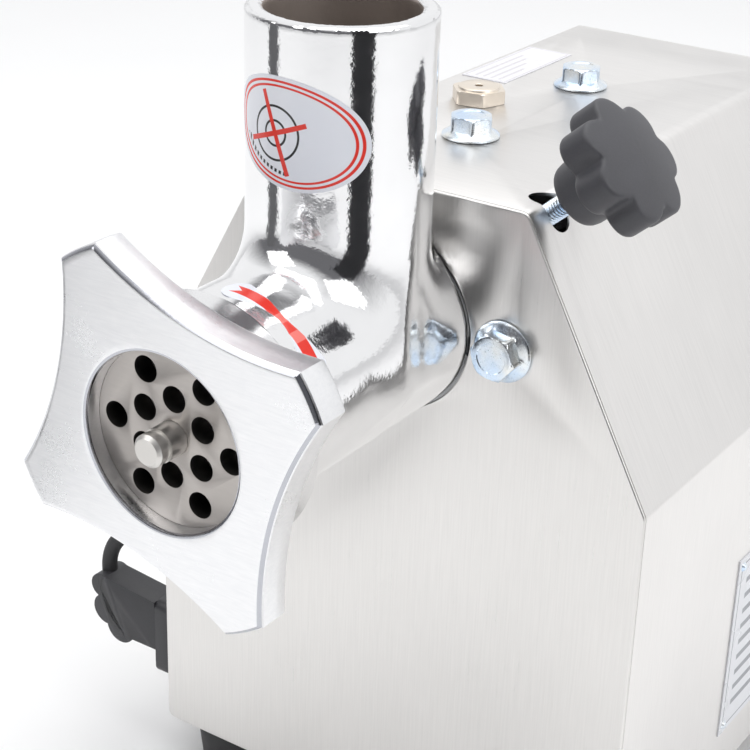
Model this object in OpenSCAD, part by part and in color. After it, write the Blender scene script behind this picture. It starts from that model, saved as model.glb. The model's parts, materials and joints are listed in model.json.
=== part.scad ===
// Electric meat grinder, size 12 head, on a six-sided sheet steel case.
// X is across the case, Y runs from the plate towards the back, Z is up.

/* [Case] */
// Widest width of the case
case_w = 220; // [216:1:224]
// Width of the flat roof
roof_w = 111; // [106:1:114]
// Height of the roof above the bench
roof_h = 299; // [298:0.5:302]
// Height of the widest bend above the bench
bend_h = 198; // [190:1:204]
// Depth of the case, front panel to back panel
case_d = 240; // [238:1:246]
// Height of the feet under the case
foot_h = 22; // [18:1:26]
// Thickness of the sheet steel
sheet = 1.5; // [1.2:0.1:1.6]
// Radius of the bends in the sheet
bend_r = 4; // [3:0.5:5]

/* [Head] */
// Height of the worm's axis above the bench
axis_h = 246; // [245:0.5:246]
// Outer radius of the barrel
barrel_r = 34.7; // [34.2:0.1:35]
// Radius of the worm's bore
bore_r = 26.5; // [26.2:0.1:27]
// Outer radius of the feed tube
tube_r = 32.2; // [31.6:0.1:33]
// Bore radius of the feed tube
tube_bore = 26.2; // [25:0.1:26.4]
// Distance of the feed tube's axis in front of the case
tube_y = 32.4; // [32.3:0.1:34]
// Height of the feed tube's mouth above the worm's axis
tube_top = 122; // [110:1:130]
// Radius of the spigot that plugs into the case
spigot_r = 27; // [26.8:0.1:27.2]

/* [Plate and nut] */
// Diameter of the hole plate
plate_d = 70; // [69.5:0.1:70.2]
// Thickness of the hole plate
plate_t = 8; // [7.6:0.1:8]
// Distance between neighbouring holes
hole_pitch = 13.6; // [13.2:0.1:14]
// Diameter of the holes
hole_d = 9.2; // [6:0.1:9.6]
// Radius over the ring nut's four tips
tip_r = 66.5; // [62:0.5:70]
// Radius to the middle of the ring nut's hollow sides
waist_r = 46.2; // [45:0.2:48]
// Width of each flat tip
tip_w = 17; // [14:1:20]
// Thickness of the star-shaped plate of the nut
star_t = 14; // [12:0.5:15]
// Radius of the opening in the nut
nut_open_r = 31; // [30.5:0.5:32]

/* [Clamp knob] */
// Angle of the clamp screw above the horizontal
clamp_a = 41; // [40:0.5:42]
// Distance of the clamp screw behind the front panel
clamp_y = 16.5; // [15.5:0.5:17.5]
// Radius over the knob's lobes
knob_r = 24; // [22:0.5:25]
// Number of lobes
knob_lobes = 7; // [5:1:8]

/* [Gears] */
// Teeth on the motor pinion
motor_teeth = 18; // [18]
// Teeth on the large layshaft gear
lay_teeth = 52; // [52]
// Teeth on the small layshaft gear
small_teeth = 14; // [14]
// Teeth on the output gear
out_teeth = 40; // [40]
// Module of the first pair
mod_1 = 1.5; // [1.5]
// Module of the second pair
mod_2 = 2; // [2]
// Play between the flanks at the pitch circle
backlash = 0.3; // [0.25:0.05:0.4]

/* [Motor] */
// Outer radius of the motor shell
motor_r = 62; // [61:0.5:62]
// Radius of the rotor
rotor_r = 35.4; // [34:0.2:35.4]

/* [Switch] */
// Diameter of the switch lead
lead_d = 7; // [6:0.5:7.5]

/* [Hidden] */
$fn = 64;

half_w = case_w / 2;
half_roof = roof_w / 2;
side_x = half_w;
plate_thick = 0.6;
rivet_head = 0.9;
gland_out = 18;

// the finished object is centred over the bench point below the middle of its box
switch_reach = 159;
box_lo_x = -switch_reach;
box_hi_x = half_w + plate_thick + rivet_head;
box_lo_y = -135;
box_hi_y = case_d + sheet / 2 + gland_out;
off_x = -(box_lo_x + box_hi_x) / 2;
off_y = -(box_lo_y + box_hi_y) / 2;

// stations along the worm's axis
nut_face = -128.5;
nut_seat = -122;
plate_front = nut_seat + 0.1;
plate_back = plate_front + plate_t;
skirt_back = -103;
skirt_r = 44;
thread_r = 40;
flange_front = -118;
seat_back = -103.4;
shoulder_y = -101;
crown_up = thread_r - barrel_r;
throat_h = 28;
worm_front = -101.5;
slot_x = [-3.1, 1.6];
slot_y = 17.9;
slot_r = 6.5;
bore_back = 3.5;
spigot_back = 42;
key_y = -116;
pin_end = -135;
pin_r = 5.9;
hub_back = 52;
wall_front = 164;
wall_back = 174;
box_back = 205;
cover_front = 206;
cover_back = 214;
stage_1 = [176, 187];
stage_2 = [189.5, 203];

// shaft heights
centre_1 = mod_1 * (motor_teeth + lay_teeth) / 2;
centre_2 = mod_2 * (small_teeth + out_teeth) / 2;
lay_h = axis_h - centre_2;
motor_h = lay_h - centre_1;
run = 0.04;

steel = [0.80, 0.80, 0.79];
chrome = [0.86, 0.87, 0.89];
zinc = [0.72, 0.77, 0.83];
black = [0.28, 0.28, 0.30];
cast = [0.66, 0.67, 0.68];
dark_steel = [0.45, 0.45, 0.47];

module place() { translate([off_x, off_y, 0]) children(); }

// ---- shape helpers ----
module ycyl(r, y0, y1, x = 0, z = axis_h) {
    translate([x, y0, z]) rotate([-90, 0, 0]) cylinder(r = r, h = y1 - y0);
}
module ycone(ra, rb, y0, y1, x = 0, z = axis_h) {
    translate([x, y0, z]) rotate([-90, 0, 0]) cylinder(r1 = ra, r2 = rb, h = y1 - y0);
}
module yring(r, ri, y0, y1, x = 0, z = axis_h) {
    difference() {
        ycyl(r, y0, y1, x, z);
        ycyl(ri, y0 - 1, y1 + 1, x, z);
    }
}
module yslab(y0, y1) { translate([0, y1, 0]) rotate([90, 0, 0]) linear_extrude(y1 - y0) children(); }
module block(lo, hi) { translate(lo) cube(hi - lo); }
module stud_frame() { translate([0, clamp_y, axis_h]) rotate([0, 90 - clamp_a, 0]) children(); }

// corner of a polygon rounded to radius r
function unit(v) = v / norm(v);
function corner_arc(p, a, b, r, n) =
    let (u = unit(a - p), v = unit(b - p), half = acos(u * v) / 2, d = r / tan(half),
         c = p + unit(u + v) * r / sin(half), s = p + u * d, e = p + v * d,
         a0 = atan2(s[1] - c[1], s[0] - c[0]), a1 = atan2(e[1] - c[1], e[0] - c[0]),
         sweep = a1 - a0 > 180 ? a1 - a0 - 360 : a1 - a0 < -180 ? a1 - a0 + 360 : a1 - a0)
    [for (i = [0:n]) c + r * [cos(a0 + sweep * i / n), sin(a0 + sweep * i / n)]];
function rounded(pts, r, n = 5) =
    let (m = len(pts))
    [for (i = [0:m - 1]) each corner_arc(pts[i], pts[(i + m - 1) % m], pts[(i + 1) % m], r, n)];

// section of the case, moved in by t all round
slope_len = norm([half_w - half_roof, roof_h - bend_h]);
function shift_bend(t) = t * (slope_len - (half_w - half_roof)) / (roof_h - bend_h);
function shift_roof(t) = t * (slope_len - (roof_h - bend_h)) / (half_w - half_roof);
function case_pts(t) =
    let (w = half_w - t, b = bend_h - shift_bend(t), r = half_roof - shift_roof(t), h = roof_h - t)
    [[-w, foot_h + t], [w, foot_h + t], [w, b], [r, h], [-r, h], [-w, b]];
module case_section(t) { polygon(rounded(case_pts(t), max(bend_r - t, 1))); }

// ---- fasteners, axis up, seat at z = 0 ----
module flange_bolt(flange_r, across, head_h, shank_r, shank_l) {
    cylinder(r = flange_r, h = 1.6);
    translate([0, 0, 1.5]) cylinder(r1 = flange_r - 0.8, r2 = across / 2 + 0.2, h = 1.6);
    translate([0, 0, 1]) cylinder(r = across / sqrt(3), h = head_h - 1, $fn = 6);
    translate([0, 0, -shank_l]) cylinder(r = shank_r, h = shank_l + 0.5);
}
module pan_screw(head_r, head_h, shank_r, shank_l) {
    difference() {
        union() {
            cylinder(r = head_r, h = head_h);
            translate([0, 0, -shank_l]) cylinder(r = shank_r, h = shank_l + 0.5);
        }
        for (a = [0, 90]) rotate(a)
            translate([-head_r * 0.6, -0.5, head_h - 1]) cube([head_r * 1.2, 1, 2]);
    }
}
module to_front() { rotate([90, 0, 0]) children(); }
module to_back() { rotate([-90, 0, 0]) children(); }

// ---- involute gears, 25 degree pressure angle ----
pressure = 25;
flank_steps = 4;
function inv(a) = tan(a) * 180 / PI - a;
function tooth_half(m, z, r) =
    let (rp = m * z / 2, rb = rp * cos(pressure), a = acos(min(1, rb / r)))
    90 / z - backlash / (4 * rp) * 180 / PI + inv(pressure) - inv(a);
function tooth(m, z, mid) =
    let (rp = m * z / 2, rb = rp * cos(pressure), rt = rp + m * 0.95, rr = rp - 1.25 * m,
         r0 = max(rb, rr + 0.05))
    concat(
        [rr * [cos(mid - tooth_half(m, z, r0)), sin(mid - tooth_half(m, z, r0))]],
        [for (i = [0:flank_steps]) let (r = r0 + (rt - r0) * i / flank_steps, h = tooth_half(m, z, r))
            r * [cos(mid - h), sin(mid - h)]],
        [for (i = [flank_steps:-1:0]) let (r = r0 + (rt - r0) * i / flank_steps, h = tooth_half(m, z, r))
            r * [cos(mid + h), sin(mid + h)]],
        [rr * [cos(mid + tooth_half(m, z, r0)), sin(mid + tooth_half(m, z, r0))]]);
module gear_outline(m, z, phase) {
    polygon([for (k = [0:z - 1]) each tooth(m, z, phase + 360 * k / z)]);
}
module ygear(m, z, phase, station, h) {
    translate([0, 0, h]) yslab(station[0], station[1]) gear_outline(m, z, phase);
}

// ---- case ----
front_hole_r = 35.5;
bolt_x = 49.5;
top_bolt_x = -5;
top_bolt_y = [62, 150];
plug_at = [-27, 104];
bolt_shank = 5;
foot_at = [88, 22];
module slot_cut() {
    stud_frame() translate([0, slot_y - clamp_y, 60]) linear_extrude(40) {
        for (x = slot_x) translate([x, 0]) circle(r = slot_r);
        translate([slot_x[0], -slot_r]) square([slot_x[1] - slot_x[0], 2 * slot_r]);
    }
}
module front_panel() color(steel) difference() {
    union() {
        yslab(0, sheet) case_section(0);
        difference() {
            yslab(sheet - 0.2, 11) case_section(sheet + 0.1);
            yslab(sheet, 12) case_section(2 * sheet + 0.1);
        }
    }
    ycyl(front_hole_r, -1, sheet + 1);
    for (s = [-1, 1]) ycyl(bolt_shank + 0.5, -1, sheet + 1, s * bolt_x);
    // notch in the return for the nut of the lead's gland
    intersection() {
        xcyl(8.6, -half_w, -half_w + 12, lead_at[1], lead_in_h);
        yslab(sheet + 1, 20) translate([-half_w, 0]) square([12, roof_h]);
    }
}
module case_wrap() color(steel) difference() {
    union() {
        yslab(sheet, case_d - sheet) difference() {
            case_section(0);
            case_section(sheet);
        }
        for (p = rear_screw_at) rear_tab(p);
    }
    for (p = rear_screw_at) ycyl(2.03, tab_back - 5, tab_back + 1, p[0], p[1]);
    // hatch in the floor, closed by the base plate
    block([-hatch_x, hatch_y, foot_h - 1], [hatch_x, case_d - hatch_y, foot_h + sheet + 1]);
    for (sx = [-1, 1], y = foot_ys) translate([sx * foot_at[0], y, foot_h - 1]) cylinder(r = 3.1, h = 4);
    slot_cut();
    for (y = top_bolt_y) translate([top_bolt_x, y, roof_h - 5]) cylinder(r = bolt_shank + 0.5, h = 10);
    translate([plug_at[0], plug_at[1], roof_h - 5]) cylinder(r = 8.6, h = 10);
    // holes for the switch and its lead
    xcyl(4, -half_w - 1, -half_w + 3, switch_wire[0], switch_wire[1]);
    xcyl(5.4, -half_w - 1, -half_w + 3, lead_at[1], lead_in_h);
    for (p = switch_screw_at) xcyl(1.72, -half_w - 1, -half_w + 3, p[0], p[1]);
}
rear_screw_at = [for (s = [-1, 1]) each [[s * 98, 40], [s * 98, 180], [s * 46, 286]]];
mains_at = [-60, 58];
tab_back = case_d - sheet - 0.05;
hatch_x = 64;
hatch_y = 44;
// tab bent inwards that takes one screw of the back panel
module rear_tab(p) {
    side = p[0] > 0 ? 1 : -1;
    if (p[1] > 250) block([p[0] - 8, tab_back - sheet, p[1] - 8], [p[0] + 8, tab_back, roof_h - sheet / 2]);
    else block([min(side * 90, side * (half_w - sheet / 2)), tab_back - sheet, p[1] - 8],
        [max(side * 90, side * (half_w - sheet / 2)), tab_back, p[1] + 8]);
}
module rear_panel() color(steel) difference() {
    yslab(case_d - sheet, case_d) case_section(0);
    for (p = rear_screw_at) ycyl(2.05, case_d - 9, case_d + 1, p[0], p[1]);
    ycyl(8.2, case_d - 9, case_d + 1, mains_at[0], mains_at[1]);
    // two banks of cooling slots with round ends
    for (s = [-1, 1], k = [0:5]) translate([s * 40, 0, 96 + 13 * k]) yslab(case_d - 3, case_d + 1) {
        square([44, 4.4], center = true);
        for (e = [-1, 1]) translate([e * 22, 0]) circle(r = 2.2);
    }
}
module rear_screws() color(zinc) for (p = rear_screw_at)
    translate([p[0], case_d, p[1]]) to_back() pan_screw(3.8, 2.2, 2, 7.5);
module base_plate() color(steel) difference() {
    block([-half_w + 6, 14, foot_h + sheet + 0.05], [half_w - 6, case_d - 14, foot_h + 2 * sheet]);
    for (k = [0:6]) block([-30, 60 + 18 * k, foot_h], [30, 66 + 18 * k, foot_h + 5]);
    for (sx = [-1, 1], y = foot_ys) translate([sx * foot_at[0], y, foot_h]) cylinder(r = 3.1, h = 6);
}
foot_ys = [foot_at[1], case_d - foot_at[1]];
module rubber_feet() color(black) for (sx = [-1, 1], y = foot_ys)
    translate([sx * foot_at[0], y, 0]) difference() {
        union() {
            cylinder(r1 = 15.6, r2 = 17.6, h = foot_h - 4);
            translate([0, 0, foot_h - 4]) cylinder(r = 17.6, h = 4);
        }
        translate([0, 0, -1]) cylinder(r = 6.4, h = 9);
        cylinder(r = 3.1, h = foot_h + 1);
    }
module foot_screws() color(zinc) for (sx = [-1, 1], y = foot_ys)
    translate([sx * foot_at[0], y, 8]) {
        mirror([0, 0, 1]) pan_screw(5.6, 3, 3, foot_h + 2);
        translate([0, 0, foot_h + 2 * sheet - 8]) difference() {
            cylinder(r = 5.8, h = 5, $fn = 6);
            translate([0, 0, -1]) cylinder(r = 2.9, h = 3.5);
        }
    }
module top_bolts() color(zinc) for (y = top_bolt_y)
    translate([top_bolt_x, y, roof_h]) rotate(20) flange_bolt(11.2, 15.4, 8.6, bolt_shank, 20);
module front_bolts() color(zinc) for (s = [-1, 1])
    translate([s * bolt_x, 0, axis_h]) to_front() rotate(12) flange_bolt(11.6, 16, 8.8, bolt_shank, 20);
module oil_plug() color([0.72, 0.66, 0.56]) translate([plug_at[0], plug_at[1], roof_h]) rotate(10)
    difference() {
        union() {
            cylinder(r = 11.4, h = 5.6, $fn = 6);
            cylinder(r = 8.4, h = 6.6);
            translate([0, 0, -12]) cylinder(r = 8, h = 13);
        }
        translate([0, 0, 2]) cylinder(r = 1.5, h = 6);
    }
rating_lo = [98, 48];
rating_hi = [186, 134];
module rating_plate() color([0.78, 0.79, 0.80]) difference() {
    block([side_x + 0.02, rating_lo[0], rating_lo[1]], [side_x + plate_thick, rating_hi[0], rating_hi[1]]);
    for (y = rating_rivet_ys, z = rating_rivet_zs) translate([side_x - 1, y, z])
        rotate([0, 90, 0]) cylinder(r = 1.25, h = 4);
}
rating_rivet_ys = [rating_lo[0] + 4, rating_hi[0] - 4];
rating_rivet_zs = [rating_lo[1] + 4, rating_hi[1] - 4];
module rating_rivets() color(zinc) for (y = rating_rivet_ys, z = rating_rivet_zs)
    translate([side_x, y, z]) rotate([0, 90, 0]) {
        translate([0, 0, 0.02]) cylinder(r = 1.2, h = plate_thick + 0.1);
        translate([0, 0, plate_thick]) cylinder(r1 = 2.1, r2 = 1.3, h = rivet_head);
    }
module roof_label() color("white")
    block([-52, 132, roof_h + 0.02], [-31, 190, roof_h + 0.3]);

// ---- drive housing ----
top_pad = [[-40, hub_back + 0.1, axis_h + 16], [26, wall_front + 1, roof_h - sheet - 0.2]];
module boss_2d(x, z, r) { translate([x, z]) circle(r = r); }
socket_screw_at = [for (a = [85:90:355]) 32.2 * [cos(a), sin(a)]];
module hub_socket() color(cast) difference() {
    union() {
        intersection() {
            ycyl(63, sheet + 0.2, 12);
            block([-63, 0, axis_h - 44], [63, 13, axis_h + 45]);
        }
        ycyl(37, 11, hub_back);
        for (s = [-1, 1]) ycyl(10.5, 11, 26, s * bolt_x);
        for (s = [-1, 1]) block([s * 43 - 9, 11, axis_h - 5], [s * 43 + 9, 26, axis_h + 5]);
        stud_frame() translate([0, 0, 30]) cylinder(r = 9.5, h = 26);
    }
    ycyl(spigot_r + run, 0, 46);
    ycyl(21, 45, 50);
    ycyl(17.6, 45, hub_back + 1);
    for (s = [-1, 1]) ycyl(bolt_shank + 0.04, 0, 24, s * bolt_x);
    stud_frame() cylinder(r = 4.06, h = 75);
    for (p = socket_screw_at) {
        ycyl(2.6, 0, hub_back + 1, p[0], axis_h + p[1]);
        ycyl(4.5, 0, 7, p[0], axis_h + p[1]);
    }
}
module socket_screws() color(dark_steel) for (p = socket_screw_at)
    translate([p[0], 7, axis_h + p[1]]) to_front() pan_screw(4.3, 4.2, 2.5, 54);
module output_seal() color(black) yring(20.9, 10.06, 45.6, 49.9);
out_seat = [hub_back, hub_back + 14];
module tunnel_bolts(r) { for (p = socket_screw_at) ycyl(r, hub_back, hub_back + 11, p[0], axis_h + p[1]); }
cover_screw_at = [[-46, axis_h + 26], [46, axis_h + 26], [-52, lay_h + 20], [52, lay_h + 20],
    [-42, lay_h - 30], [42, lay_h - 30], [-18, motor_h - 22], [18, motor_h - 22]];
module box_outline() {
    boss_2d(0, axis_h, 49.5);
    boss_2d(0, lay_h, 47.5);
    boss_2d(0, motor_h, 25);
    translate([-48, lay_h]) square([96, centre_2]);
    polygon([[-43, lay_h - 20], [43, lay_h - 20], [23, motor_h - 8], [-23, motor_h - 8]]);
    for (p = cover_screw_at) translate(p) circle(r = 6.2);
}
module gear_space() {
    ycyl(43.6, wall_back, box_back + 1);
    ycyl(42.2, wall_back, box_back + 1, 0, lay_h);
    ycyl(17.5, wall_back, box_back + 1, 0, motor_h);
    block([-13, wall_back, motor_h], [13, box_back + 1, axis_h]);
}
motor_bolt_at = [for (a = [45:90:315]) 55 * [cos(a), sin(a)]];
module gearbox_housing() color(cast) difference() {
    union() {
        yslab(wall_front, box_back) box_outline();
        ycyl(motor_r, wall_front, wall_back - 1, 0, motor_h);
        ycyl(30, hub_back + 10, wall_front + 1);
        ycyl(37, hub_back + 0.1, hub_back + 12);
        block(top_pad[0], top_pad[1]);
    }
    gear_space();
    ycyl(15, hub_back, wall_back + 1);
    ycyl(23.52, hub_back - 1, out_seat[1]);
    ycyl(14.02, wall_back - 8, wall_back + 1, 0, lay_h);
    ycyl(8, wall_front - 1, wall_back - 7, 0, lay_h);
    ycyl(9.5, wall_front - 1, wall_back + 1, 0, motor_h);
    tunnel_bolts(2.54);
    for (p = motor_bolt_at) ycyl(2.54, wall_front - 1, wall_back - 1.5, p[0], motor_h + p[1]);
    for (p = cover_screw_at) ycyl(2.04, box_back - 16, box_back + 1, p[0], p[1]);
    for (y = top_bolt_y) translate([top_bolt_x, y, roof_h - 24]) cylinder(r = bolt_shank + 0.04, h = 30);
    translate([plug_at[0], plug_at[1], roof_h - 15]) cylinder(r = 8.04, h = 20);
    // vent passage from the plug down to the shaft tunnel
    translate([plug_at[0] + 4, plug_at[1], roof_h - 12]) rotate([0, 148, 0]) cylinder(r = 2, h = 42);
}
module gearbox_cover() color(cast) difference() {
    union() {
        yslab(cover_front, cover_back) box_outline();
        ycyl(25, cover_front, cover_back + 6);
        ycyl(19, cover_front, cover_back + 4, 0, lay_h);
    }
    ycyl(20.02, cover_front - 1, cover_front + 12);
    ycyl(14.02, cover_front - 1, cover_front + 8, 0, lay_h);
    for (p = cover_screw_at) ycyl(2.3, cover_front - 1, cover_back + 1, p[0], p[1]);
}
module cover_gasket() color([0.35, 0.32, 0.28]) difference() {
    yslab(box_back + 0.02, cover_front - 0.02) box_outline();
    gear_space();
    for (p = cover_screw_at) ycyl(2.3, box_back - 1, cover_front + 1, p[0], p[1]);
}
module cover_screws() color(dark_steel) for (p = cover_screw_at)
    translate([p[0], cover_back, p[1]]) to_back() pan_screw(3.8, 3, 2, 20);

// ring bearing with a groove in each face, between radii ri and ro
module ball_bearing(ro, ri, y0, y1, h) {
    mid = (ro + ri) / 2;
    difference() {
        yring(ro, ri, y0, y1, 0, h);
        for (y = [y0 - 1, y1 - 0.6]) yring(mid + (ro - ri) * 0.22, mid - (ro - ri) * 0.22, y, y + 1.6, 0, h);
    }
}
module output_bearings() color(dark_steel) {
    ball_bearing(23.5, 10 + run, out_seat[0] + 0.2, out_seat[1], axis_h);
    ball_bearing(20, 8.5 + run, cover_front, cover_front + 12, axis_h);
}
module layshaft_bearings() color(dark_steel) {
    ball_bearing(14, 6 + run, wall_back - 8, wall_back, lay_h);
    ball_bearing(14, 6 + run, cover_front, cover_front + 8, lay_h);
}

// ---- turning parts of the drive ----
drive_r = 8.4;
module output_shaft() color(chrome) difference() {
    union() {
        ycyl(17.2, 43.2, 45);
        ycyl(10, 44, 203.5);
        ycyl(8.5, 203, cover_front + 11.5);
        ycyl(12, out_seat[1] + 0.4, out_seat[1] + 6);
    }
    // hexagonal socket that drives the worm
    translate([0, 43, axis_h]) rotate([-90, 0, 0]) cylinder(r = drive_r, h = 20, $fn = 6);
}
module output_gear() color(dark_steel) difference() {
    ygear(mod_2, out_teeth, 90 + 180 / out_teeth, stage_2, axis_h);
    ycyl(10.02, stage_2[0] - 1, stage_2[1] + 1);
    for (a = [0:60:300]) ycyl(6, stage_2[0] - 1, stage_2[1] + 1, 24 * cos(a), axis_h + 24 * sin(a));
}
module layshaft() color(chrome) {
    ycyl(8, wall_back + 0.4, stage_2[0] + 0.1, 0, lay_h);
    ycyl(6, wall_back - 7.6, cover_front + 7.6, 0, lay_h);
    ygear(mod_2, small_teeth, 90, stage_2, lay_h);
}
module layshaft_gear() color(dark_steel) difference() {
    ygear(mod_1, lay_teeth, 90 + 180 / lay_teeth, stage_1, lay_h);
    ycyl(8.02, stage_1[0] - 1, stage_1[1] + 1, 0, lay_h);
    for (a = [0:60:300]) ycyl(6, stage_1[0] - 1, stage_1[1] + 1, 23 * cos(a), lay_h + 23 * sin(a));
}
module motor_shaft() color(chrome) {
    ycyl(8, 52, wall_front + 2, 0, motor_h);
    ycyl(6, 30, 53, 0, motor_h);
    ycyl(6, wall_front, stage_1[0] + 0.5, 0, motor_h);
    ygear(mod_1, motor_teeth, 90, stage_1, motor_h);
}
core_y = [84, 130];
module rotor_core() color(dark_steel) {
    yring(rotor_r, 8.02, core_y[0], core_y[1], 0, motor_h);
}
module cooling_fan() color(black) {
    yring(13, 6.04, 33, 46, 0, motor_h);
    yring(46, 12.5, 44, 46, 0, motor_h);
    for (a = [0:45:315]) translate([0, 0, motor_h]) rotate([0, a, 0])
        block([12.5, 33, -1], [45, 44.5, 1]);
}

// ---- still parts of the motor ----
module motor_shell() color([0.55, 0.57, 0.6]) yring(motor_r, motor_r - 2.5, 62.1, 151.9, 0, motor_h);
module stator_core() color(dark_steel) difference() {
    yring(motor_r - 2.55, rotor_r + 0.6, core_y[0], core_y[1], 0, motor_h);
    for (p = motor_bolt_at) ycyl(2.7, core_y[0] - 1, core_y[1] + 1, p[0], motor_h + p[1]);
}
module stator_windings() color([0.72, 0.4, 0.2]) {
    yring(50, 38, core_y[0] - 14, core_y[0] - 0.1, 0, motor_h);
    yring(50, 38, core_y[1] + 0.1, core_y[1] + 14, 0, motor_h);
}
module end_shield(y0, y1, seat0, seat1) {
    difference() {
        ycyl(motor_r, y0, y1, 0, motor_h);
        ycyl(8.6, y0 - 1, y1 + 1, 0, motor_h);
        ycyl(16.02, seat0, seat1, 0, motor_h);
        for (p = motor_bolt_at) ycyl(2.7, y0 - 1, y1 + 1, p[0], motor_h + p[1]);
        for (a = [0:60:300]) ycyl(7, y0 - 1, y1 + 1, 34 * cos(a), motor_h + 34 * sin(a));
    }
}
module front_end_shield() color(cast) end_shield(51, 62, 54, 63);
module rear_end_shield() color(cast) end_shield(152, wall_front - 0.1, 151, 160);
module motor_bearings() color(dark_steel) {
    ball_bearing(16, 8 + run, 54, 62, motor_h);
    ball_bearing(16, 8 + run, 152, 160, motor_h);
}
module motor_bolts() color(zinc) for (p = motor_bolt_at)
    translate([p[0], 51, motor_h + p[1]]) to_front() pan_screw(4.2, 3.4, 2.5, 120);
module fan_cowl() color(black) difference() {
    ycyl(motor_r + 2.2, 24, 60, 0, motor_h);
    ycyl(motor_r + 0.1, 26, 61, 0, motor_h);
    for (a = [0:30:330], r = [26, 42]) ycyl(r / 7, 23, 27, r * cos(a), motor_h + r * sin(a));
}
module motor_cradle() color(steel) difference() {
    union() {
        for (y = [72, 136]) block([-46, y, foot_h + 2 * sheet + 0.05], [46, y + 3, 96]);
        block([-46, 72, foot_h + 2 * sheet + 0.05], [46, 139, foot_h + 3.2 * sheet]);
    }
    ycyl(motor_r + 0.05, 60, 150, 0, motor_h);
    for (k = [0:3]) block([-30, 78 + 15 * k, foot_h], [30, 86 + 15 * k, foot_h + 8]);
}
module run_capacitor() color([0.85, 0.85, 0.83]) {
    ycyl(19, 84, 160, 82, 50);
    for (s = [-1, 1]) block([82 + s * 7 - 3, 160, 49.6], [82 + s * 7 + 3, 170, 50.4]);
    block([81, 100, foot_h + 2 * sheet + 0.05], [83, 150, 32]);
}
module terminal_block() color([0.9, 0.9, 0.86]) difference() {
    block([-96, 180, foot_h + 2 * sheet + 0.05], [-64, 212, 44]);
    for (y = [186:10:206]) {
        translate([-80, y, 30]) cylinder(r = 2.6, h = 20);
        translate([-100, y, 34]) rotate([0, 90, 0]) cylinder(r = 2, h = 12);
        translate([-72, y, 34]) rotate([0, 90, 0]) cylinder(r = 2, h = 12);
    }
}
module mains_gland() color(black) difference() {
    union() {
        ycyl(8, case_d - 14, case_d + 4, mains_at[0], mains_at[1]);
        translate([mains_at[0], case_d, mains_at[1]]) rotate([-90, 0, 0])
            cylinder(r = 12.6, h = 5.5, $fn = 6);
        ycone(10.4, 7.6, case_d + 5, case_d + gland_out + sheet / 2, mains_at[0], mains_at[1]);
        translate([mains_at[0], case_d - 13, mains_at[1]]) rotate([-90, 0, 0])
            cylinder(r = 12, h = 5, $fn = 6);
    }
    ycyl(4.2, case_d - 20, case_d + 30, mains_at[0], mains_at[1]);
}

// ---- switch on the left side ----
base_x = -half_w - 12;
base_y = [6, 46];
base_z = [37, 74];
body_y = [6, 20];
lobes = [[-153, 71, 6], [-150.5, 59.5, 7.5], [-142.5, 53, 7.8]];
pivot = [-152, 62.5];
rocker_r = 6.3;
rocker_y = [8.8, 17.2];
lead_at = [-154, 13];
lead_foot = 72;
lead_bend = 24;
bend_z = 78;
lead_in_h = bend_z + lead_bend;
switch_screw_at = [[36, 67], [36, 44], [13, 42]];
module xcyl(r, x0, x1, y, z) { translate([x0, y, z]) rotate([0, 90, 0]) cylinder(r = r, h = x1 - x0); }
module xslab(x0, x1) { translate([x0, 0, 0]) rotate([90, 0, 90]) linear_extrude(x1 - x0) children(); }
module switch_base() color(black) difference() {
    xslab(base_x, -half_w - 0.05) polygon(rounded([[base_y[0], base_z[0]], [base_y[1], base_z[0]],
        [base_y[1], base_z[1]], [base_y[0], base_z[1]]], 4));
    xcyl(4, base_x - 1, -half_w + 1, switch_wire[0], switch_wire[1]);
    for (p = switch_screw_at) {
        xcyl(1.8, base_x - 1, -half_w + 1, p[0], p[1]);
        xcyl(3.6, base_x - 1, base_x + 5, p[0], p[1]);
    }
}
switch_wire = [13, 60];
module switch_screws() color(zinc) for (p = switch_screw_at)
    translate([base_x + 5, p[0], p[1]]) rotate([0, -90, 0]) pan_screw(3.4, 2, 1.7, 8);
module switch_body() color(black) difference() {
    yslab(body_y[0], body_y[1]) {
        polygon([[base_x - 0.05, 49], [-140, 49], [-150, 58], [-154, 70], [-152, 76.4],
            [base_x - 0.05, 73.6]]);
        for (l = lobes) translate([l[0], l[1]]) circle(r = l[2]);
    }
    // pocket of the rocker and the holes of its pivot
    block([-162, rocker_y[0] - 0.3, pivot[1] - rocker_r - 0.3],
        [pivot[0] + rocker_r + 0.3, rocker_y[1] + 0.3, pivot[1] + rocker_r + 0.3]);
    ycyl(1.56, rocker_y[0] - 1.6, rocker_y[1] + 1.6, pivot[0], pivot[1]);
    translate([lead_at[0], lead_at[1], lead_foot]) cylinder(r = lead_d / 2 + 0.02, h = 10);
}
module switch_rocker() color(black) {
    difference() {
        ycyl(rocker_r, rocker_y[0], rocker_y[1], pivot[0], pivot[1]);
        for (s = [-1, 1]) translate([pivot[0] - rocker_r - 1.2, 0, pivot[1]]) rotate([0, s * 12, 0])
            block([-4, 0, s > 0 ? 0 : -10], [2.6, 30, s > 0 ? 10 : 0]);
    }
    ycyl(1.5, rocker_y[0] - 1.4, rocker_y[1] + 1.4, pivot[0], pivot[1]);
}
module switch_lead() color([0.12, 0.12, 0.13]) {
    translate([lead_at[0], lead_at[1], lead_foot + 0.05]) cylinder(r = lead_d / 2, h = bend_z - lead_foot);
    translate([lead_at[0] + lead_bend, lead_at[1], bend_z]) rotate([90, 0, 0]) mirror([1, 0, 0])
        rotate_extrude(angle = 90) translate([lead_bend, 0]) circle(r = lead_d / 2);
    xcyl(lead_d / 2, lead_at[0] + lead_bend, -half_w + 14, lead_at[1], lead_in_h);
}
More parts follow.
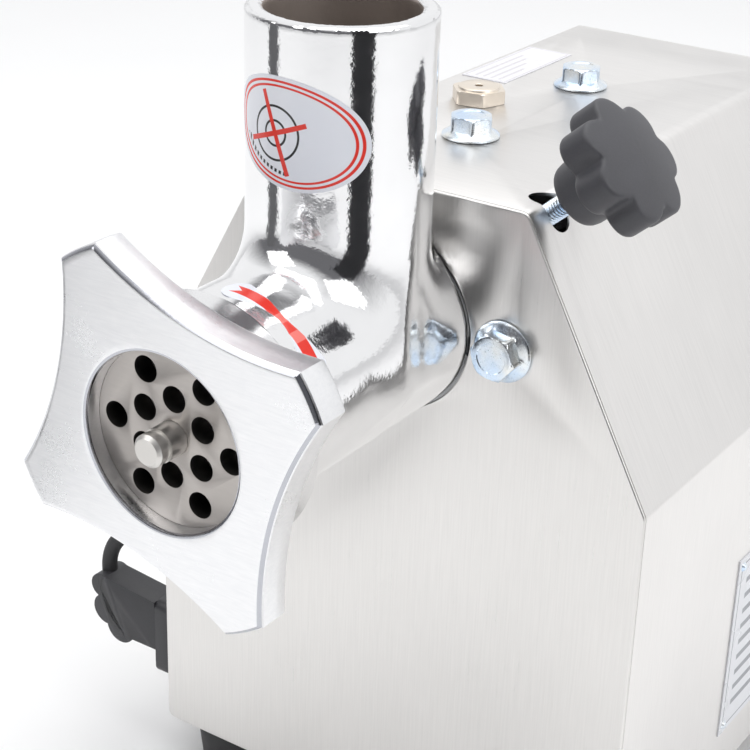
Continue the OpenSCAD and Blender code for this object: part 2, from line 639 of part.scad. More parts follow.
module lead_gland() color(black) difference() {
    union() {
        translate([-half_w - 0.05, lead_at[1], lead_in_h]) rotate([0, -90, 0]) cylinder(r = 8.6, h = 3);
        xcyl(5.3, -half_w - 1, -half_w + 6, lead_at[1], lead_in_h);
        translate([-half_w + sheet + 0.1, lead_at[1], lead_in_h]) rotate([0, 90, 0])
            cylinder(r = 8, h = 4, $fn = 6);
    }
    xcyl(lead_d / 2 + 0.02, -half_w - 8, -half_w + 10, lead_at[1], lead_in_h);
}

// ---- head ----
module head_body() color(chrome) difference() {
    union() {
        ycyl(thread_r, flange_front, shoulder_y);
        ycone(thread_r, barrel_r, shoulder_y, shoulder_y + 4);
        ycyl(barrel_r, shoulder_y + 3.5, sheet - 0.1);
        ycyl(spigot_r, 0, spigot_back);
        translate([0, -tube_y, axis_h]) cylinder(r = tube_r, h = tube_top);
        // thicker top of the casting, between the flange and the feed tube
        ycyl(barrel_r, shoulder_y - 1, -tube_y - 10, 0, axis_h + crown_up);
    }
    ycyl(bore_r, seat_back - 1, bore_back);
    ycyl(plate_d / 2 + 0.12, flange_front - 1, seat_back);
    ycyl(16.02, 0, spigot_back + 1);
    // machined bore of the feed tube over a slightly narrower cast throat
    translate([0, -tube_y, axis_h + throat_h]) cylinder(r = tube_bore, h = tube_top);
    translate([0, -tube_y, axis_h]) cylinder(r = tube_bore - 0.4, h = tube_top);
    // blind hole that holds the plate's locating pin
    translate([0, key_y, axis_h + 38]) rotate([180, 0, 0]) cylinder(r = 1.52, h = 6);
}
module hole_plate() color([0.62, 0.6, 0.59]) difference() {
    ycyl(plate_d / 2, plate_front, plate_back);
    ycyl(pin_r + 0.08, plate_front - 1, plate_back + 1);
    for (k = [0:5], ring = [0, 1]) {
        r = ring == 0 ? hole_pitch : hole_pitch * sqrt(3);
        a = 27 + 60 * k + 30 * ring;
        ycyl(hole_d / 2, plate_front - 1, plate_back + 1, r * cos(a), axis_h + r * sin(a));
    }
    // notch for the locating pin
    block([-1.7, flange_front - 0.2, axis_h + plate_d / 2 - 4],
        [1.7, plate_back + 1, axis_h + plate_d / 2 + 2]);
}
module plate_key() color(dark_steel)
    translate([0, key_y, axis_h + 32.3]) cylinder(r = 1.5, h = 5.6);
oval = [24, 18.5];
oval_at = axis_h + 87;
module tube_label() color("white") intersection() {
    translate([0, -tube_y, oval_at - 30]) difference() {
        cylinder(r = tube_r + 0.3, h = 60);
        translate([0, 0, -1]) cylinder(r = tube_r + 0.03, h = 62);
    }
    translate([1.6, 0, oval_at]) yslab(-tube_y - 40, -tube_y)
        polygon([for (a = [0:7.5:352.5]) [oval[0] * cos(a), oval[1] * sin(a)]]);
}
module barrel_label() color("white") intersection() {
    yring(barrel_r + 0.3, barrel_r + 0.03, -97, -86, 0, axis_h + crown_up);
    block([-4, -98, axis_h + 23], [60, -85, axis_h + 60]);
}
module rear_bush() color([0.7, 0.55, 0.3]) yring(16, 14.05, bore_back + 0.2, spigot_back - 0.2);

// ---- worm, knife, nut ----
hex_r = 8.2;
worm_pitch = 33;
flight_y = [worm_front, -1];
flight_l = flight_y[1] - flight_y[0];
module worm() color([0.7, 0.7, 0.7]) {
    ycyl(11.5, worm_front, 0);
    translate([0, flight_y[0], axis_h]) rotate([-90, 0, 0])
        linear_extrude(flight_l, twist = 360 * flight_l / worm_pitch, slices = 72)
            polygon(concat([for (a = [0:14:42]) 9 * [cos(a), sin(a)]],
                [for (a = [42:-7:0]) (bore_r - 0.4) * [cos(a), sin(a)]]));
    ycyl(14, -0.5, spigot_back + 0.8);
    translate([0, spigot_back, axis_h]) rotate([-90, 0, 0]) cylinder(r = hex_r, h = 18, $fn = 6);
    // square for the knife, then the pin that centres the plate
    block([-6.4, plate_back + 0.4, axis_h - 6.4], [6.4, worm_front + 0.5, axis_h + 6.4]);
    ycyl(pin_r, -129.2, plate_back + 1);
    ycyl(pin_r - 0.9, -131.2, -129);
    ycyl(pin_r - 0.2, -133.8, -131);
    ycone(pin_r - 1.4, pin_r - 0.2, pin_end, -133.8);
}
module thrust_washer() color([0.9, 0.89, 0.85]) yring(24, 14.1, 0.8, bore_back - 0.3);
module cross_knife() color([0.6, 0.61, 0.62]) difference() {
    union() {
        ycyl(12.5, plate_back + 0.3, worm_front - 0.3);
        for (a = [0:90:270]) translate([0, 0, axis_h]) rotate([0, a + 20, 0]) difference() {
            block([-4.5, plate_back + 0.3, 0], [5.5, seat_back - 0.4, 33]);
            translate([-4.5, seat_back - 0.4, -1]) rotate([0, 0, -32]) cube([16, 12, 36]);
        }
    }
    block([-6.45, plate_back - 1, axis_h - 6.45], [6.45, seat_back + 3, axis_h + 6.45]);
}
nut_turn = 29.5;
side_half = 45 - asin(tip_w / 2 / tip_r);
side_r = ((tip_r * cos(side_half) - waist_r) ^ 2 + (tip_r * sin(side_half)) ^ 2)
    / (2 * (tip_r * cos(side_half) - waist_r));
module star_outline() {
    difference() {
        intersection() {
            circle(r = tip_r);
            rotate(nut_turn) square(2 * tip_r * cos(asin(tip_w / 2 / tip_r)), center = true);
            rotate(nut_turn + 45) square(2 * tip_r, center = true);
        }
        for (k = [0:3]) rotate(nut_turn + 45 + 90 * k) translate([waist_r + side_r, 0])
            circle(r = side_r, $fn = 128);
    }
}
module ring_nut() color(chrome) difference() {
    union() {
        yslab(nut_face, nut_face + star_t) translate([0, axis_h]) star_outline();
        ycyl(skirt_r, nut_face + star_t - 0.5, skirt_back - 1);
        ycone(skirt_r, skirt_r - 0.8, skirt_back - 1.01, skirt_back);
    }
    ycyl(nut_open_r, nut_face - 1, 0);
    ycyl(thread_r + 0.3, nut_seat, 0);
}

// ---- clamp knob ----
hub_t = 86.5;
lobe_t = 101;
rim_t = 113.5;
dome_t = 117;
lobe_turn = 22.6;
lobe_r = 7.6;
dome_r = (knob_r ^ 2 + (dome_t - rim_t) ^ 2) / (2 * (dome_t - rim_t));
module clamp_stud() color(zinc) stud_frame() {
    translate([0, 0, spigot_r + 0.3]) cylinder(r1 = 2.6, r2 = 3.6, h = 2.5);
    translate([0, 0, spigot_r + 2.7]) cylinder(r = 4, h = hub_t - spigot_r + 7.3);
}
module clamp_knob() color(black) stud_frame() difference() {
    union() {
        translate([0, 0, hub_t]) cylinder(r1 = 11.2, r2 = 12.2, h = 1.5);
        translate([0, 0, hub_t + 1.4]) cylinder(r = 12.2, h = lobe_t - hub_t);
        intersection() {
            translate([0, 0, lobe_t]) linear_extrude(dome_t - lobe_t) {
                circle(r = knob_r - 6.6);
                for (k = [0:knob_lobes - 1]) rotate(lobe_turn + k * 360 / knob_lobes)
                    translate([knob_r - lobe_r, 0]) circle(r = lobe_r);
            }
            translate([0, 0, dome_t - dome_r]) sphere(r = dome_r, $fn = 128);
        }
    }
    translate([0, 0, hub_t - 1]) cylinder(r = 4.02, h = 11.4);
}

place() front_panel();
place() case_wrap();
place() rear_panel();
place() base_plate();
place() rubber_feet();
place() foot_screws();
place() rear_screws();
place() top_bolts();
place() front_bolts();
place() oil_plug();
place() rating_plate();
place() rating_rivets();
place() roof_label();
place() hub_socket();
place() socket_screws();
place() gearbox_housing();
place() gearbox_cover();
place() cover_gasket();
place() cover_screws();
place() output_bearings();
place() layshaft_bearings();
place() motor_bearings();
place() output_seal();
place() motor_shell();
place() stator_core();
place() stator_windings();
place() front_end_shield();
place() rear_end_shield();
place() motor_bolts();
place() fan_cowl();
place() motor_cradle();
place() run_capacitor();
place() terminal_block();
place() mains_gland();
place() switch_base();
place() switch_body();
place() switch_screws();
place() lead_gland();
place() switch_lead();
place() motor_shaft();
place() rotor_core();
place() cooling_fan();
place() layshaft();
place() layshaft_gear();
place() output_shaft();
place() output_gear();
place() head_body();
place() hole_plate();
place() plate_key();
place() tube_label();
place() barrel_label();
place() rear_bush();
place() worm();
place() thrust_washer();
place() cross_knife();
place() ring_nut();
place() clamp_knob();
place() clamp_stud();
place() switch_rocker();
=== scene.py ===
import json
import math

import bmesh
import bpy
import numpy as np
from mathutils import Matrix, Vector


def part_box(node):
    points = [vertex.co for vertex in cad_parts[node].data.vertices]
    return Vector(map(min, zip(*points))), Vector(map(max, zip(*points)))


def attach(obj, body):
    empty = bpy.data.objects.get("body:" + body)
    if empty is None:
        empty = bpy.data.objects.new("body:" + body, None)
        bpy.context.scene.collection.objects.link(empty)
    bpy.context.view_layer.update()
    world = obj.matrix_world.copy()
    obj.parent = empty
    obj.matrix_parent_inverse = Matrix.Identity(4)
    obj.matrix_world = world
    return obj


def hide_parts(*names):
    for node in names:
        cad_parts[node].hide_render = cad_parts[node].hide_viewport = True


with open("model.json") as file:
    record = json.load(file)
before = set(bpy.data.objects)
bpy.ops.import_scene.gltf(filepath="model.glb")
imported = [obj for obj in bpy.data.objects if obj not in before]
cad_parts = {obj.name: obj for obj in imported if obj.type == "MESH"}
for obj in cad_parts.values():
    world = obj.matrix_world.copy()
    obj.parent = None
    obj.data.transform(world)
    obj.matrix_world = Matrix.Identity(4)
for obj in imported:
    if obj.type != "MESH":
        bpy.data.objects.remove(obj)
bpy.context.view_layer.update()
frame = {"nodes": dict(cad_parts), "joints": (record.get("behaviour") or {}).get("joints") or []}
NODES = frame["nodes"]
MM = 0.001
TURN = 2 * math.pi

# ---------------------------------------------------------------- the frame
JOINTS = {j["name"]: j for j in frame["joints"]}
AXIS_POS = JOINTS["worm_spin"]["pos_m"]
PANEL_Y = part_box("front_panel")[0].y
ORIGIN = Vector((AXIS_POS[0], PANEL_Y, AXIS_POS[2]))
STUD_DIR = Vector(JOINTS["clamp_knob_turn"]["axis"])
CASE_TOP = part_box("case_wrap")[1].z


def at(x, y, z):
    """Millimetres right of the head's axis, behind the front panel and above the axis, in metres."""
    return ORIGIN + Vector((x, y, z)) * MM


def basis(origin, x_dir, y_dir, z_dir):
    rows = Matrix((x_dir, y_dir, z_dir)).transposed().to_4x4()
    return Matrix.Translation(origin) @ rows


# along the head's axis: local z runs towards the back, local y is up
HEAD = basis(ORIGIN, Vector((1, 0, 0)), Vector((0, 0, 1)), Vector((0, 1, 0)))
UPRIGHT = Matrix.Translation(ORIGIN)
STUD_ACROSS = Vector((0, 1, 0)).cross(STUD_DIR)
CLAMP_Y = (Vector(JOINTS["clamp_knob_turn"]["pos_m"]).y - PANEL_Y) / MM
STUD = basis(at(0, CLAMP_Y, 0), STUD_ACROSS, Vector((0, 1, 0)), STUD_DIR)

# ---------------------------------------------------------------- camera
CAMERA_AT = (336.3, -516.5, 265.4)
CAMERA_AIM = Vector((-0.4986, 0.7557, -0.4246))
CAMERA_UP = Vector((-0.2593, 0.3373, 0.9050))
LENS_MM = 87.61
SENSOR_MM = 36


def make_camera():
    data = bpy.data.cameras.new("view_camera")
    data.lens = LENS_MM
    data.sensor_width = SENSOR_MM
    data.clip_start = 0.01
    camera = bpy.data.objects.new("view_camera", data)
    bpy.context.scene.collection.objects.link(camera)
    back = -CAMERA_AIM.normalized()
    right = CAMERA_UP.cross(back).normalized()
    up = back.cross(right)
    camera.matrix_world = basis(at(*CAMERA_AT), right, up, back)
    bpy.context.scene.camera = camera


# ---------------------------------------------------------------- materials
class Val:
    """A number in a material's node tree, with + - * / written as math nodes."""

    def __init__(self, tree, socket):
        self.tree, self.socket = tree, socket

    def op(self, kind, *others, clamp=False):
        node = self.tree.nodes.new("ShaderNodeMath")
        node.operation = kind
        node.use_clamp = clamp
        for i, value in enumerate((self,) + others):
            if isinstance(value, Val):
                self.tree.links.new(value.socket, node.inputs[i])
            else:
                node.inputs[i].default_value = value
        return Val(self.tree, node.outputs[0])

    def __add__(self, other):
        return self.op("ADD", other)

    def __sub__(self, other):
        return self.op("SUBTRACT", other)

    def __mul__(self, other):
        return self.op("MULTIPLY", other)

    def __truediv__(self, other):
        return self.op("DIVIDE", other)

    def abs(self):
        return self.op("ABSOLUTE")

    def maximum(self, other):
        return self.op("MAXIMUM", other)

    def minimum(self, other):
        return self.op("MINIMUM", other)

    def below(self, limit, soft=0.05):
        """1 where the value is under the limit, 0 over it, with a soft step between."""
        return ((self * -1.0 + limit) / soft + 0.5).op("ADD", 0.0, clamp=True)

    def above(self, limit, soft=0.05):
        """1 where the value is over the limit, 0 under it, with a soft step between."""
        return ((self - limit) / soft + 0.5).op("ADD", 0.0, clamp=True)


class Finish:
    """One material and its node tree."""

    def __init__(self, name, color, metallic=0.0, rough=0.5, ior=1.5):
        self.mat = bpy.data.materials.new(name)
        self.mat.use_nodes = True
        self.tree = self.mat.node_tree
        self.shader = self.tree.nodes["Principled BSDF"]
        self.shader.inputs["Base Color"].default_value = (*color, 1)
        self.shader.inputs["Metallic"].default_value = metallic
        self.shader.inputs["Roughness"].default_value = rough
        self.shader.inputs["IOR"].default_value = ior
        self.coords = self.tree.nodes.new("ShaderNodeTexCoord")
        self.normal = None

    def noise(self, scale, stretch=(1, 1, 1), detail=3.0, roughness=0.55, distortion=0.0):
        """Noise in object space; scale is features per metre along each unstretched axis."""
        mapping = self.tree.nodes.new("ShaderNodeMapping")
        mapping.inputs["Scale"].default_value = [scale * s for s in stretch]
        self.tree.links.new(self.coords.outputs["Object"], mapping.inputs["Vector"])
        node = self.tree.nodes.new("ShaderNodeTexNoise")
        node.inputs["Scale"].default_value = 1.0
        node.inputs["Detail"].default_value = detail
        node.inputs["Roughness"].default_value = roughness
        node.inputs["Distortion"].default_value = distortion
        self.tree.links.new(mapping.outputs["Vector"], node.inputs["Vector"])
        return Val(self.tree, node.outputs["Fac"])

    def bump(self, value, height_mm, strength=1.0):
        node = self.tree.nodes.new("ShaderNodeBump")
        node.inputs["Distance"].default_value = height_mm * MM
        node.inputs["Strength"].default_value = strength
        self.tree.links.new(value.socket, node.inputs["Height"])
        if self.normal is not None:
            self.tree.links.new(self.normal, node.inputs["Normal"])
        self.normal = node.outputs["Normal"]
        self.tree.links.new(self.normal, self.shader.inputs["Normal"])
        return self

    def spread(self, value, low, high):
        node = self.tree.nodes.new("ShaderNodeMapRange")
        node.inputs["From Min"].default_value = 0.3
        node.inputs["From Max"].default_value = 0.7
        node.inputs["To Min"].default_value = low
        node.inputs["To Max"].default_value = high
        self.tree.links.new(value.socket, node.inputs["Value"])
        return Val(self.tree, node.outputs["Result"])

    def rough(self, value, low, high):
        self.tree.links.new(self.spread(value, low, high).socket, self.shader.inputs["Roughness"])
        return self

    def mix(self, value, first, second):
        node = self.tree.nodes.new("ShaderNodeMix")
        node.data_type = "RGBA"
        self.tree.links.new(value.socket, node.inputs[0])
        for index, item in ((6, first), (7, second)):
            if isinstance(item, tuple):
                node.inputs[index].default_value = (*item, 1)
            else:
                self.tree.links.new(item, node.inputs[index])
        return node.outputs[2]

    def color(self, value, first, second):
        share = self.spread(value, 0.0, 1.0)
        self.tree.links.new(self.mix(share, first, second), self.shader.inputs["Base Color"])
        return self

    def paint(self, socket):
        self.tree.links.new(socket, self.shader.inputs["Base Color"])
        return self

    def uv(self):
        node = self.tree.nodes.new("ShaderNodeSeparateXYZ")
        self.tree.links.new(self.coords.outputs["UV"], node.inputs[0])
        return Val(self.tree, node.outputs[0]), Val(self.tree, node.outputs[1])


def brushed(name, stretch, color=(0.74, 0.72, 0.70), rough=(0.30, 0.42), depth=0.012):
    """Satin sheet steel; the lines run along the axis with the smallest stretch."""
    f = Finish(name, color, 1.0, sum(rough) / 2)
    lines = f.noise(90, stretch, 6, 0.62)
    cloud = f.noise(14, (1, 1, 1), 3, 0.5)
    f.color(lines * 0.6 + cloud * 0.4, tuple(c * 0.93 for c in color), tuple(min(1, c * 1.05) for c in color))
    f.rough(lines * 0.7 + cloud * 0.3, *rough)
    f.bump(lines, depth, 0.5)
    return f.mat


def plated(name, color, rough, peel_mm, peel_scale=420, grain=0.0):
    """Bright plating or cast metal, with orange peel and, if grain is given, the casting's own grain."""
    f = Finish(name, color, 1.0, rough[0])
    peel = f.noise(peel_scale, (1, 1, 1), 2.5, 0.5)
    broad = f.noise(38, (1, 1, 1), 3, 0.6)
    f.rough(broad * 0.7 + peel * 0.3, *rough)
    f.color(broad, tuple(c * 0.94 for c in color), color)
    f.bump(peel, peel_mm, 0.6)
    if grain:
        f.bump(f.noise(150, (1, 1, 1), 2, 0.5), grain * 2.6, 0.5)
        f.bump(f.noise(1000, (1, 1, 1), 2, 0.6), grain, 0.6)
    return f.mat


def plastic(name, color, rough=(0.42, 0.56), grain_mm=0.03):
    f = Finish(name, color, 0.0, rough[0])
    fine = f.noise(1500, (1, 1, 1), 2, 0.6)
    cloud = f.noise(60, (1, 1, 1), 3, 0.6)
    f.rough(cloud, *rough)
    f.color(cloud * 0.7 + fine * 0.3, tuple(c * 0.85 for c in color), tuple(c * 1.2 for c in color))
    f.bump(fine, grain_mm, 0.6)
    return f.mat


def turned_steel(name, color, rough=(0.22, 0.36)):
    f = Finish(name, color, 1.0, rough[0])
    rings = f.noise(160, (1, 14, 1), 3, 0.55)
    cloud = f.noise(50, (1, 1, 1), 3, 0.55)
    f.rough(rings * 0.5 + cloud * 0.5, *rough)
    f.color(cloud, tuple(c * 0.86 for c in color), color)
    f.bump(rings, 0.02, 0.5)
    return f.mat


def zinc_plating():
    """Bluish zinc that turns yellowish in places."""
    f = Finish("zinc_plating", (0.74, 0.80, 0.88), 1.0, 0.22)
    tint = f.noise(95, (1, 1, 1), 2, 0.5)
    fine = f.noise(900, (1, 1, 1), 3, 0.6)
    f.color(tint, (0.62, 0.76, 0.94), (0.88, 0.88, 0.84))
    f.rough(fine, 0.14, 0.32)
    f.bump(fine, 0.03, 0.5)
    return f.mat


def scratched_plating():
    """The ring nut's bright face, with long fine scratches."""
    f = Finish("nut_plating", (0.93, 0.93, 0.935), 1.0, 0.34)
    long = f.noise(620, (0.16, 1, 1.7), 4, 0.65, 0.4)
    pits = f.noise(900, (1, 1, 1), 3, 0.6)
    broad = f.noise(40, (1, 1, 1), 3, 0.55)
    f.rough(broad * 0.6 + pits * 0.4, 0.24, 0.42)
    f.color(long * 0.6 + broad * 0.4, (0.84, 0.845, 0.86), (0.95, 0.95, 0.955))
    f.bump(long, 0.035, 0.55)
    f.bump(pits, 0.02, 0.5)
    return f.mat


def build_materials():
    m = {}
    m["front_steel"] = brushed("front_steel", (14, 14, 0.35), (0.80, 0.785, 0.765), (0.26, 0.36), 0.008)
    m["wrap_steel"] = brushed("wrap_steel", (0.5, 16, 0.5), (0.80, 0.785, 0.77), (0.30, 0.42), 0.009)
    m["inner_steel"] = brushed("inner_steel", (0.5, 12, 0.5), (0.6, 0.6, 0.6), (0.4, 0.5))
    m["tube_chrome"] = plated("tube_chrome", (0.90, 0.90, 0.905), (0.05, 0.12), 0.085, 420, 0.042)
    m["tube_inside"] = plated("tube_inside", (0.50, 0.44, 0.40), (0.5, 0.62), 0.05, 600)
    m["nut_plating"] = scratched_plating()
    m["edge_plating"] = plated("edge_plating", (0.55, 0.56, 0.60), (0.12, 0.2), 0.03, 600)
    m["skirt_plating"] = plated("skirt_plating", (0.88, 0.88, 0.885), (0.14, 0.24), 0.02, 500)
    m["worm_plating"] = plated("worm_plating", (0.76, 0.74, 0.71), (0.34, 0.46), 0.06, 300)
    m["plate_steel"] = brushed("plate_steel", (1, 1, 8), (0.50, 0.47, 0.445), (0.36, 0.46), 0.01)
    # painted shade: near-black steel for the walls of the plate's holes, standing in for the shade that falls
    # inside them
    m["painted_shade_hole_wall"] = turned_steel("painted_shade_hole_wall", (0.10, 0.095, 0.09), (0.45, 0.6))
    m["dark_steel"] = turned_steel("machined_dark_steel", (0.38, 0.38, 0.40), (0.3, 0.45))
    m["zinc"] = zinc_plating()
    m["brass"] = plated("plug_brass", (0.85, 0.77, 0.67), (0.26, 0.38), 0.04, 500)
    m["knob_plastic"] = plastic("knob_plastic", (0.062, 0.062, 0.070), (0.40, 0.52), 0.045)
    m["black_plastic"] = plastic("black_plastic", (0.045, 0.045, 0.05), (0.38, 0.5), 0.03)
    m["black_rubber"] = plastic("black_rubber", (0.035, 0.035, 0.037), (0.55, 0.7), 0.05)
    m["pale_plastic"] = plastic("pale_plastic", (0.70, 0.69, 0.64), (0.4, 0.5), 0.02)
    m["cast_metal"] = plated("cast_aluminium", (0.60, 0.61, 0.62), (0.42, 0.58), 0.12, 260, 0.05)
    m["painted"] = plastic("grey_enamel", (0.12, 0.13, 0.145), (0.3, 0.42), 0.03)
    m["copper"] = plated("enamelled_copper", (0.60, 0.26, 0.12), (0.3, 0.45), 0.2, 180)
    m["bronze"] = plated("bronze", (0.62, 0.45, 0.25), (0.35, 0.5), 0.05, 600)
    m["paper"] = plastic("gasket_paper", (0.22, 0.18, 0.13), (0.7, 0.8), 0.05)
    return m


# ---------------------------------------------------------------- mesh helpers
def new_piece(name, verts, faces, body, material, smooth_angle=None, replaces=()):
    mesh = bpy.data.meshes.new(name)
    mesh.from_pydata([tuple(v) for v in verts], [], [tuple(f) for f in faces])
    mesh.validate()
    mesh.materials.append(material)
    piece = bpy.data.objects.new(name, mesh)
    bpy.context.scene.collection.objects.link(piece)
    tidy_normals(piece)
    shade(piece, smooth_angle)
    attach(piece, body)
    if replaces:
        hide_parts(*replaces)
    return piece


def tidy_normals(piece):
    bm = bmesh.new()
    bm.from_mesh(piece.data)
    bmesh.ops.recalc_face_normals(bm, faces=bm.faces)
    bm.to_mesh(piece.data)
    bm.free()


def shade(piece, angle=None):
    """Smooth shading, with edges sharper than angle (degrees) kept hard."""
    mesh = piece.data
    mesh.polygons.foreach_set("use_smooth", [True] * len(mesh.polygons))
    if angle is not None:
        mesh.set_sharp_from_angle(angle=math.radians(angle))


def loft(rings, matrix, cap_first=False, cap_last=False, closed=False):
    """Vertices and quads through rings of equal length, in the matrix's own millimetres."""
    count = len(rings[0])
    verts = [matrix @ (Vector(p) * MM) for ring in rings for p in ring]
    faces = []
    pairs = len(rings) if closed else len(rings) - 1
    for k in range(pairs):
        a, b = k * count, ((k + 1) % len(rings)) * count
        for i in range(count):
            j = (i + 1) % count
            faces.append((a + i, a + j, b + j, b + i))
    for wanted, ring, start in ((cap_first, rings[0], 0), (cap_last, rings[-1], (len(rings) - 1) * count)):
        if wanted:
            middle = sum((Vector(p) for p in ring), Vector()) / count
            verts.append(matrix @ (middle * MM))
            for i in range(count):
                faces.append((start + i, start + (i + 1) % count, len(verts) - 1))
    return verts, faces


def polar(angles, radii, z):
    return [(r * math.cos(a), r * math.sin(a), z) for a, r in zip(angles, radii)]


def even(count):
    return [TURN * i / count for i in range(count)]


def lathe(profile, matrix, count=96, closed=False, cap_first=False, cap_last=False):
    """Turns (radius, height) points round the matrix's z axis."""
    angles = even(count)
    rings = [polar(angles, [r] * count, z) for r, z in profile]
    return loft(rings, matrix, cap_first, cap_last, closed)


def rounded_profile(points, radius, steps=4):
    """The corners of a closed (r, z) outline, each cut by an arc of the given radius."""
    out = []
    count = len(points)
    for i, p in enumerate(points):
        p = Vector(p)
        a, b = Vector(points[i - 1]) - p, Vector(points[(i + 1) % count]) - p
        r = min(radius, a.length * 0.45, b.length * 0.45)
        u, v = a.normalized(), b.normalized()
        if abs(u.dot(v)) > 0.999:
            out.append(tuple(p))
            continue
        for k in range(steps + 1):
            t = k / steps
            out.append(tuple(p + u * r * (1 - t) ** 2 + v * r * t ** 2))
    return out


def join_meshes(parts):
    verts, faces = [], []
    for v, f in parts:
        base = len(verts)
        verts.extend(v)
        faces.extend(tuple(i + base for i in face) for face in f)
    return verts, faces


# ---------------------------------------------------------------- surface nets
def smooth_min(a, b, k):
    h = np.clip(0.5 + 0.5 * (b - a) / k, 0, 1)
    return b * (1 - h) + a * h - k * h * (1 - h)


def smooth_max(a, b, k):
    return -smooth_min(-a, -b, k)


def surface_net(field, low, high, step):
    """A closed quad mesh on field = 0, with its vertices moved exactly onto the surface."""
    axes = [np.arange(low[i], high[i] + step, step) for i in range(3)]
    grid = np.meshgrid(*axes, indexing="ij")
    value = field(*grid).astype(np.float32)
    inside = value < 0
    total = np.zeros(tuple(n - 1 for n in value.shape) + (3,), np.float32)
    hits = np.zeros(total.shape[:3], np.float32)
    corners = [(0, 0, 0), (1, 0, 0), (0, 1, 0), (0, 0, 1), (1, 1, 0), (1, 0, 1), (0, 1, 1), (1, 1, 1)]

    def pick(c):
        return tuple(slice(c[i], value.shape[i] - 1 + c[i]) for i in range(3))

    for a in corners:
        for b in corners:
            if sum(b) - sum(a) != 1 or any(b[i] < a[i] for i in range(3)):
                continue
            va, vb = value[pick(a)], value[pick(b)]
            crossing = (va < 0) != (vb < 0)
            t = np.where(crossing, va / np.where(crossing, va - vb, 1), 0)
            for i in range(3):
                total[..., i] += np.where(crossing, a[i] + t * (b[i] - a[i]), 0)
            hits += crossing
    active = hits > 0
    index = np.full(active.shape, -1, np.int64)
    index[active] = np.arange(active.sum())
    cells = np.argwhere(active)
    points = np.array([axes[i][cells[:, i]] for i in range(3)]).T
    points = points + total[active] / hits[active][:, None] * step
    faces = []
    for axis in range(3):
        u, v = (axis + 1) % 3, (axis + 2) % 3
        a = inside.take(range(0, value.shape[axis] - 1), axis)
        b = inside.take(range(1, value.shape[axis]), axis)
        edges = np.argwhere(a != b)
        edges = edges[(edges[:, u] > 0) & (edges[:, v] > 0)]
        edges = edges[(edges[:, u] < value.shape[u] - 1) & (edges[:, v] < value.shape[v] - 1)]
        quad = []
        for du, dv in ((1, 1), (0, 1), (0, 0), (1, 0)):
            cell = edges.copy()
            cell[:, u] -= du
            cell[:, v] -= dv
            quad.append(index[cell[:, 0], cell[:, 1], cell[:, 2]])
        quad = np.array(quad).T
        flip = ~a[edges[:, 0], edges[:, 1], edges[:, 2]]
        quad[flip] = quad[flip][:, ::-1]
        faces.append(quad)
    faces = np.concatenate(faces)
    faces = faces[(faces >= 0).all(1)]
    small = step * 0.1
    for _ in range(4):
        f0 = field(*points.T)
        slope = np.array([(field(*(points + small * np.eye(3)[i]).T) - f0) / small for i in range(3)]).T
        length = np.maximum((slope ** 2).sum(1), 0.2)
        move = slope * (f0 / length)[:, None]
        points = points - np.clip(move, -step * 0.4, step * 0.4)
    return points, faces


# ---------------------------------------------------------------- the head casting
BARREL_R = 34.7
THREAD_R = 40.0
BORE_R = 26.5
TUBE_R = 32.2
TUBE_BORE = 26.2
TUBE_Y = -32.4
TUBE_TOP = (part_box("head_body")[1].z - ORIGIN.z) / MM
FLANGE_FRONT = -118.0
SHOULDER_Y = -101.0
CROWN_UP = THREAD_R - BARREL_R
CROWN_BACK = -44.0
BARREL_GAP = 0.35
SPIGOT_R = 27.0
SPIGOT_BACK = 42.0
SEAT_R = 35.12
SEAT_BACK = -103.4
BORE_BACK = 3.5
BUSH_R = 16.02
OPEN_FRONT = -130.0
CELL = 1.1


def tube_field(r, axis_a, axis_b):
    return np.sqrt(axis_a ** 2 + axis_b ** 2) - r


def between(value, low, high):
    return np.maximum(low - value, value - high)


def head_field(x, y, z):
    """Negative inside the casting: barrel, crown, thread, feed tube and spigot, less the hollows."""
    barrel = smooth_max(tube_field(BARREL_R, x, z), between(y, SHOULDER_Y - 2, 1.4), 0.8)
    crown = smooth_max(tube_field(BARREL_R, x, z - CROWN_UP), y - CROWN_BACK, 5)
    crown = np.maximum(crown, SHOULDER_Y - 1 - y)
    flange = smooth_max(tube_field(THREAD_R, x, z), between(y, FLANGE_FRONT, SHOULDER_Y), 1.0)
    tube = smooth_max(tube_field(TUBE_R, x, y - TUBE_Y), between(z, 0, TUBE_TOP), 1.6)
    body = smooth_min(smooth_min(barrel, crown, 7), tube, 15)
    body = np.maximum(body, y + BARREL_GAP)
    body = smooth_min(np.minimum(body, barrel), flange, 1.2)
    body = np.minimum(body, smooth_max(tube_field(SPIGOT_R, x, z), between(y, 0, SPIGOT_BACK), 1.2))
    hollow = smooth_max(tube_field(BORE_R, x, z), between(y, OPEN_FRONT, BORE_BACK), 0.6)
    seat = smooth_max(tube_field(SEAT_R, x, z), between(y, OPEN_FRONT, SEAT_BACK), 0.6)
    hollow = np.minimum(hollow, seat)
    hollow = np.minimum(hollow, tube_field(BUSH_R, x, z) + np.maximum(0, 0 - y))
    hollow = np.minimum(hollow, smooth_max(tube_field(TUBE_BORE, x, y - TUBE_Y), -z, 0.6))
    return smooth_max(body, -hollow, 1.4)


def make_head(m):
    reach = THREAD_R + 3
    low, high = (-reach, FLANGE_FRONT - 2, -reach), (reach, SPIGOT_BACK + 2, TUBE_TOP + 2)
    points, faces = surface_net(head_field, low, high, CELL)
    verts = [UPRIGHT @ (Vector(p) * MM) for p in points]
    piece = new_piece("head_casting", verts, faces.tolist(), "head", m["tube_chrome"], 40,
                      ("head_body",))
    piece.data.materials.append(m["tube_inside"])
    for face in piece.data.polygons:
        p = (UPRIGHT.inverted() @ face.center) / MM
        in_tube = math.hypot(p.x, p.y - TUBE_Y) < TUBE_BORE + 0.4 and p.z > BORE_R
        in_barrel = math.hypot(p.x, p.z) < BORE_R + 0.4
        face.material_index = 1 if in_tube or in_barrel else 0
    return piece


